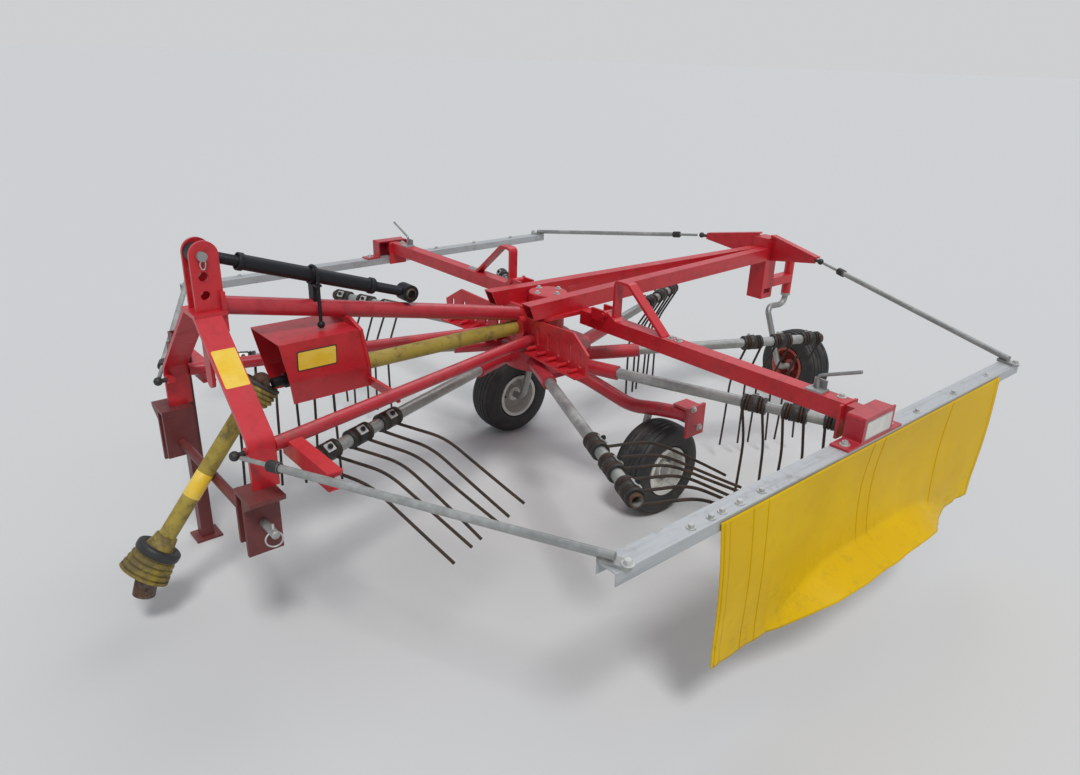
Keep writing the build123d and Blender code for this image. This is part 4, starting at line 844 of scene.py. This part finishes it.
DRIVE_PIECES = (
    # name, section of radius and place, closed, material, slot
    ("drive_guard_band", [(24.1, 300), (24.4, 300.5), (24.4, 375.5), (24.1, 376)], False, STICKER,
     "guard_yellow"),
    ("drive_guard_ring", lip(50, 547, 11.5, 13.5), True, BLACK_PLASTIC, "black_steel"),
    ("drive_guard_neck", [(24.2, 500), (30, 502), (33, 520), (40, 536), (46, 548), (20, 548)], False,
     BELL_YELLOW, "guard_yellow"),
    ("lower_ribbed_bell", ribbed((556, 622), (58, 69.5), 4, 6.5, 3), True, BELL_YELLOW, "guard_yellow"),
    ("lower_bell_lip", lip(66, 618, 2.5, 3.5), True, BELL_YELLOW, "guard_yellow"),
    ("upper_ribbed_bell", ribbed((88, 50, 8), (33, 58, 59.5), 6, 6.5, 2), True, BELL_YELLOW,
     "guard_yellow"),
    ("upper_bell_rim", lip(56.5, 9, 3.0, 4.5), True, BLACK_PLASTIC, "black_steel"),
)


def make_drive_guard():
    """Tube, its band, the black ring, the neck under it, and the two bells with their rims."""
    joint = at(*DRIVE_JOINT)
    tube = Shape().turn(DRIVE_SECTION, joint, DRIVE_WAY, sides=40, closed=True)
    piece = tube.make("drive_guard_tube", "drive_shaft", GUARD_YELLOW, slot="guard_yellow")
    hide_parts("drive_guard")
    for name, section, closed, material, slot in DRIVE_PIECES:
        shape = Shape().turn(section, joint, DRIVE_WAY, sides=56, closed=closed)
        piece = shape.make(name, "drive_shaft", material, slot=slot)
        if name == "upper_ribbed_bell":
            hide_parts("upper_bell")


make_drive_guard()


# Bolts, pins, rings, rods and blank plates
ROD_STEPS = 7


def bolt(shape, place, way, across, height):
    """A washer with a six-sided head whose edge is bevelled, sized after the head."""
    half = across / 2
    washer = [(0, 0), (1.5 * half, 0), (1.5 * half, 1.8), (1.4 * half, 2.3), (0, 2.3)]
    head = [(0, 2.0), (half, 2.0), (half, 1 + 0.8 * height), (0.85 * half, 2 + height), (0, 2 + height)]
    shape.turn(washer, place, way, sides=20)
    shape.turn(head, place, way, sides=6)


def ring(shape, centre, axis, radius, wire):
    """A round wire ring: a circle of the wire's radius turned about the axis."""
    a = np.linspace(0, 2 * math.pi, 12, endpoint=False)
    section = np.stack([radius + wire * np.cos(a), wire * np.sin(a)], 1)
    shape.turn(section, centre, axis, sides=32, closed=True)


def rod(shape, points, radius, bend):
    """A round rod along straight runs whose corners are quadratic curves between two points `bend`
    away from each corner."""
    points = np.asarray(points, float)
    path = [points[0]]
    t = np.linspace(0, 1, ROD_STEPS)[:, None]
    for before, corner, after in zip(points, points[1:], points[2:]):
        low, high = corner + unit(before - corner) * bend, corner + unit(after - corner) * bend
        path.extend((1 - t) ** 2 * low + 2 * t * (1 - t) * corner + t ** 2 * high)
    path.append(points[-1])
    across = np.eye(3)[int(np.argmin(np.ptp(points, axis=0)))]
    shape.sweep(metres(path) + ROTOR, metres(radius), across, sides=10)


BAR_TOP = 635
GUARD_FORWARD = -65
ARM_TOP = 710
BOLT_ROWS = (
    # body, on both sides, way, size across, places forward, left and up
    ("slide", True, UP, 15, [(x, 1229, BAR_TOP) for x in (660, 556, 412, -330, -560, -800)]),
    ("slide", False, UP, 15, [(x, 1230, BAR_TOP) for x in (595, 495)]),
    ("slide", True, UP, 19, [(46, 1221, 641), (-176, 1221, 641)]),
    ("slide", True, UP, 19, [(868, 1246, 643), (-974, 1246, 643)]),
    ("guard", True, UP, 17, [(GUARD_FORWARD, y, ARM_TOP) for y in (534, 564)]),
    ("guard", True, UP, 17, [(GUARD_FORWARD - 12, 1128, ARM_TOP)]),
    ("guard", True, (-1, 0, 0), 22, [(-98, 256, 724.5)]),
    ("frame", True, UP, 19, [(112, 52, 704.5), (-78, 60, 704.5)]),
    ("frame", True, (0, 1, 0), 17, [(-190, 558, 438), (-230, 558, 360)]),
    ("frame", False, UP, 30, [(-1550, 0, 705)]),
    ("frame", False, UP, 15, [(50, 0, 754), (-50, 0, 754), (0, 50, 754), (0, -50, 754)]),
)
HEAD_SHARE = 0.45
NUT_DEGREES = (20, 110, 200, 290)
NUT_CIRCLE = 50
NUT_SEAT = 21
HUB_CAP = [(0, 52), (17, 51), (22, 47), (24, 41), (29.5, 40)]


def make_bolts():
    """All bolt heads, gathered into one piece a body, and each wheel's nuts with its hub cap."""
    gathered = {}
    for body, both, way, across, places in BOLT_ROWS:
        for side in (1, -1) if both else (1,):
            name = body if body == "frame" else ("left_" if side > 0 else "right_") + body
            shape, turned = gathered.setdefault(name, Shape()), np.multiply(way, (1, side, 1))
            for x, y, z in places:
                bolt(shape, at(x, y * side, z), turned, across, across * HEAD_SHARE)
    for name, shape in gathered.items():
        shape.make(name + "_bolts", name, BRIGHT_ZINC, slot="zinc", angle=25)
    for wheel, side in WHEELS.items():
        name, joint, shape = wheel + "_wheel", JOINTS[wheel + "_wheel_spin"], Shape()
        centre, out = np.array(joint["pos_m"]), unit(joint["axis"]) * side
        first = unit(np.cross(out, UP))
        second = np.cross(out, first)
        for turn in np.radians(NUT_DEGREES):
            beside = metres(NUT_CIRCLE) * (math.cos(turn) * first + math.sin(turn) * second)
            bolt(shape, centre + beside + out * metres(NUT_SEAT), out, across=17, height=9)
        shape.turn(HUB_CAP, centre, out, sides=32)
        shape.make(name + "_nuts", name, ZINC, slot="zinc", angle=30)


make_bolts()

# Corners of bent wires and rods
MAST_CLIP = [(1198, 41, 1046), (1194, 42, 1022), (1198, 43, 1008), (1206, 43, 1008), (1209, 42, 1022),
             (1196, 41, 1050)]
STAND_PIN = [(1178, -334, 664), (1178, -400, 664), (1178, -406, 664)]
STAY_HOOK = [(893, 34, 905), (893, 34, 968), (893, -6, 970), (893, -34, 944)]
LOCK_ROD = ((1063, 706), (1056, 752), (1176, 800))
LOCK_PLACE = 1060
HITCH_PIN = (1230, 402, 404)
PIN_RISES = (4, 36, 43)


def make_frame_pins():
    """The mast pin's clip, and the hitch pins and the stand's pin with their rings."""
    pins = Shape()
    rod(pins, MAST_CLIP, radius=1.7, bend=5)
    x, y, z = HITCH_PIN
    for side in (1, -1):
        ring(pins, at(x, side * y, z), (0.25, 1, 0), radius=21, wire=2.2)
        rod(pins, [(x, side * y, z + rise) for rise in PIN_RISES], radius=3.2, bend=3)
    rod(pins, STAND_PIN, radius=5.6, bend=3)
    ring(pins, at(1180, -337, 652), (0.25, 1, 0.1), radius=17, wire=2.2)
    pins.make("pins_and_rings", "frame", BRIGHT_ZINC, slot="zinc")


LINK_ENDS = (
    # clamp on the frame, seat on the bar
    ((1268, 300, 605), (878, 1220.5, 650)),
    ((-1263, 323, 760), (-983, 1220.5, 650)),
)
LINK_COLLAR = [(6.2, 112), (12.5, 112), (14.8, 114.5), (14.8, 146), (12.5, 149), (10.1, 149)]


def make_locks_and_collars():
    """Each guard's lock rod with its clip, and the black collars on its two corner links."""
    for side, word in ((1, "left"), (-1, "right")):
        lock, clip, collars = Shape(), Shape(), Shape()
        rod(lock, [(GUARD_FORWARD, side * y, z) for y, z in LOCK_ROD], radius=5, bend=14)
        lock.make(word + "_lock_rod", word + "_guard", ZINC, slot="zinc")
        y = side * LOCK_PLACE
        for outline, shift, rise, depth in ((rounded(44, 52, 4), 0, 0, 5), (rounded(6, 40, 2.5), -14, 4, 26)):
            clip.prism(outline, at(GUARD_FORWARD + shift, y, ARM_TOP + rise), (1, 0, 0), (0, 1, 0), depth)
        clip.make(word + "_lock_clip", word + "_guard", GREY_PLATE, slot="zinc", angle=30)
        for ends in LINK_ENDS:
            start, end = np.array(ends) * (1, side, 1)
            collars.turn(LINK_COLLAR, at(*start), end - start, sides=28)
        collars.make(word + "_link_collars", word + "_slide", CLAMP_BLACK, slot="black_steel")


TOP_LINK = ((1201, 0, 1041), (586, 0, 842))
THREAD_START = 27
FRONT_THREAD = 110
REAR_THREAD = 128
FRONT_NUT = 104
REAR_NUT = 138
THREAD_PITCH = 3.6
THREAD_RADIUS = 14.3
THREAD_DEPTH = 0.9
THREAD_STEP = 0.9
LINK_NUT = [(20, 0), (23.5, 0), (24.6, 2), (24.6, 14), (23.5, 16), (20, 16)]
EYE_BALL = [(12.9, 25.4), (17.5, 25.4), (16.5, 28.5), (14.5, 30.0), (12.9, 30.0)]


def make_top_link_parts():
    """The top link's threads, as rounded ridges round its rods, its nuts, the ball in its eye, and
    the hook of its stay."""
    front, eye = np.array(TOP_LINK, float)
    length, way = np.linalg.norm(eye - front), unit(eye - front)
    threads, eyes, hook = Shape(), Shape(), Shape()
    for low, high in ((THREAD_START, FRONT_THREAD), (length - REAR_THREAD, length - THREAD_START)):
        along = np.arange(low, high, THREAD_STEP)
        ridge = THREAD_RADIUS + THREAD_DEPTH * np.abs(np.sin(math.pi * along / THREAD_PITCH))
        threads.turn(np.stack([ridge, along], 1), at(*front), way, sides=20)
    for low in (FRONT_NUT, length - REAR_NUT):
        threads.turn(np.array(LINK_NUT) + (0, low), at(*front), way, sides=32)
    threads.make("top_link_threads", "upper_link", BLACK_STEEL, slot="black_steel", angle=30)
    for side in (1, -1):
        eyes.turn(EYE_BALL, at(*eye), (0, side, 0), sides=28)
    eyes.make("top_link_eye_ball", "upper_link", BROWN_STEEL, slot="tine_steel")
    rod(hook, STAY_HOOK, radius=4.6, bend=18)
    hook.make("stay_hook", "frame", BLACK_STEEL, slot="black_steel")


make_frame_pins()
make_locks_and_collars()
make_top_link_parts()

FILM_CORNER = 4
FILM_DEPTH = 0.5
EDGE_DEPTH = 0.6
EDGE_TOTAL = 7
PLATES = (
    # name, body, middle, first way, second way, width, height, film, edge film, slot
    ("leg_sticker", "frame", (1207, 168, 781.6), (1, 0, 0), (0, 0.748, -0.664), 62, 112, STICKER, None,
     "guard_yellow"),
    ("box_label", "frame", (940, 94.2, 729), (-1, 0, 0), (0, 0.067, 0.998), 121, 60, STICKER,
     BLACK_PLASTIC, "guard_yellow"),
    ("hat_label", "left_slide", (GUARD_FORWARD, 1248, 674), (-1, 0, 0), (0, 0, 1), 132, 52, WHITE_FILM,
     GREY_PLATE, "rim_pale"),
)


def make_plates():
    """Blank stickers and plates, each a thin film, with a darker film under its edge on some."""
    for name, body, middle, first, second, width, height, film, edge, slot in PLATES:
        base = at(*middle)
        if edge:
            border = Shape().prism(rounded(width, height, FILM_CORNER), base, first, second, EDGE_DEPTH)
            border.make(name + "_edge", body, edge, slot=slot)
            base = base + np.cross(unit(first), unit(second)) * metres(EDGE_DEPTH)
            width, height = width - EDGE_TOTAL, height - EDGE_TOTAL
        plate = Shape().prism(rounded(width, height, FILM_CORNER), base, first, second, FILM_DEPTH)
        plate.make(name, body, film, slot=slot)


make_plates()

# Floor, lights and world, in metres
FLOOR_REACH = 400.0
FLOOR_COLOUR = (0.58, 0.58, 0.575)
FLOOR_ROUGHNESS = 0.85
SKY_COLOUR = (0.88, 0.93, 1.0)
SKY_STRENGTH = 0.50
BACKDROP_COLOUR = (0.62, 0.625, 0.63)
SUNS = (
    # name, place, softness in degrees, strength
    ("key", (1.2, 2.4, 4.4), 14, 1.7),
    ("back", (-3.0, -1.4, 4.0), 40, 0.6),
)


def make_stage():
    """The pale floor, a soft sky that the camera sees as a plain backdrop, and two soft suns."""
    floor = bpy.data.meshes.new("floor")
    corners = [(x * FLOOR_REACH, y * FLOOR_REACH, 0) for x, y in ((-1, -1), (1, -1), (1, 1), (-1, 1))]
    floor.from_pydata(corners, [], [(0, 1, 2, 3)])
    piece = bpy.data.objects.new("floor", floor)
    bpy.context.scene.collection.objects.link(piece)
    floor.materials.append(Look("pale_floor").finish(FLOOR_COLOUR, FLOOR_ROUGHNESS))
    world = bpy.data.worlds.new("soft_sky")
    world.use_nodes = True
    nodes, links = world.node_tree.nodes, world.node_tree.links
    ray = nodes.new("ShaderNodeLightPath")
    sky, backdrop = nodes["Background"], nodes.new("ShaderNodeBackground")
    for node, colour, strength in ((sky, SKY_COLOUR, SKY_STRENGTH), (backdrop, BACKDROP_COLOUR, 1.0)):
        node.inputs[0].default_value = opaque(colour)
        node.inputs[1].default_value = strength
    mix = nodes.new("ShaderNodeMixShader")
    links.new(ray.outputs["Is Camera Ray"], mix.inputs[0])
    links.new(sky.outputs[0], mix.inputs[1])
    links.new(backdrop.outputs[0], mix.inputs[2])
    links.new(mix.outputs[0], nodes["World Output"].inputs[0])
    bpy.context.scene.world = world
    for name, place, softness, power in SUNS:
        data = bpy.data.lights.new(name, "SUN")
        data.angle = math.radians(softness)
        data.energy = power
        lamp = bpy.data.objects.new(name, data)
        lamp.location = place
        lamp.rotation_euler = (-Vector(place)).to_track_quat("-Z", "Y").to_euler()
        bpy.context.scene.collection.objects.link(lamp)
    bpy.context.scene.view_settings.view_transform = "Standard"


make_stage()
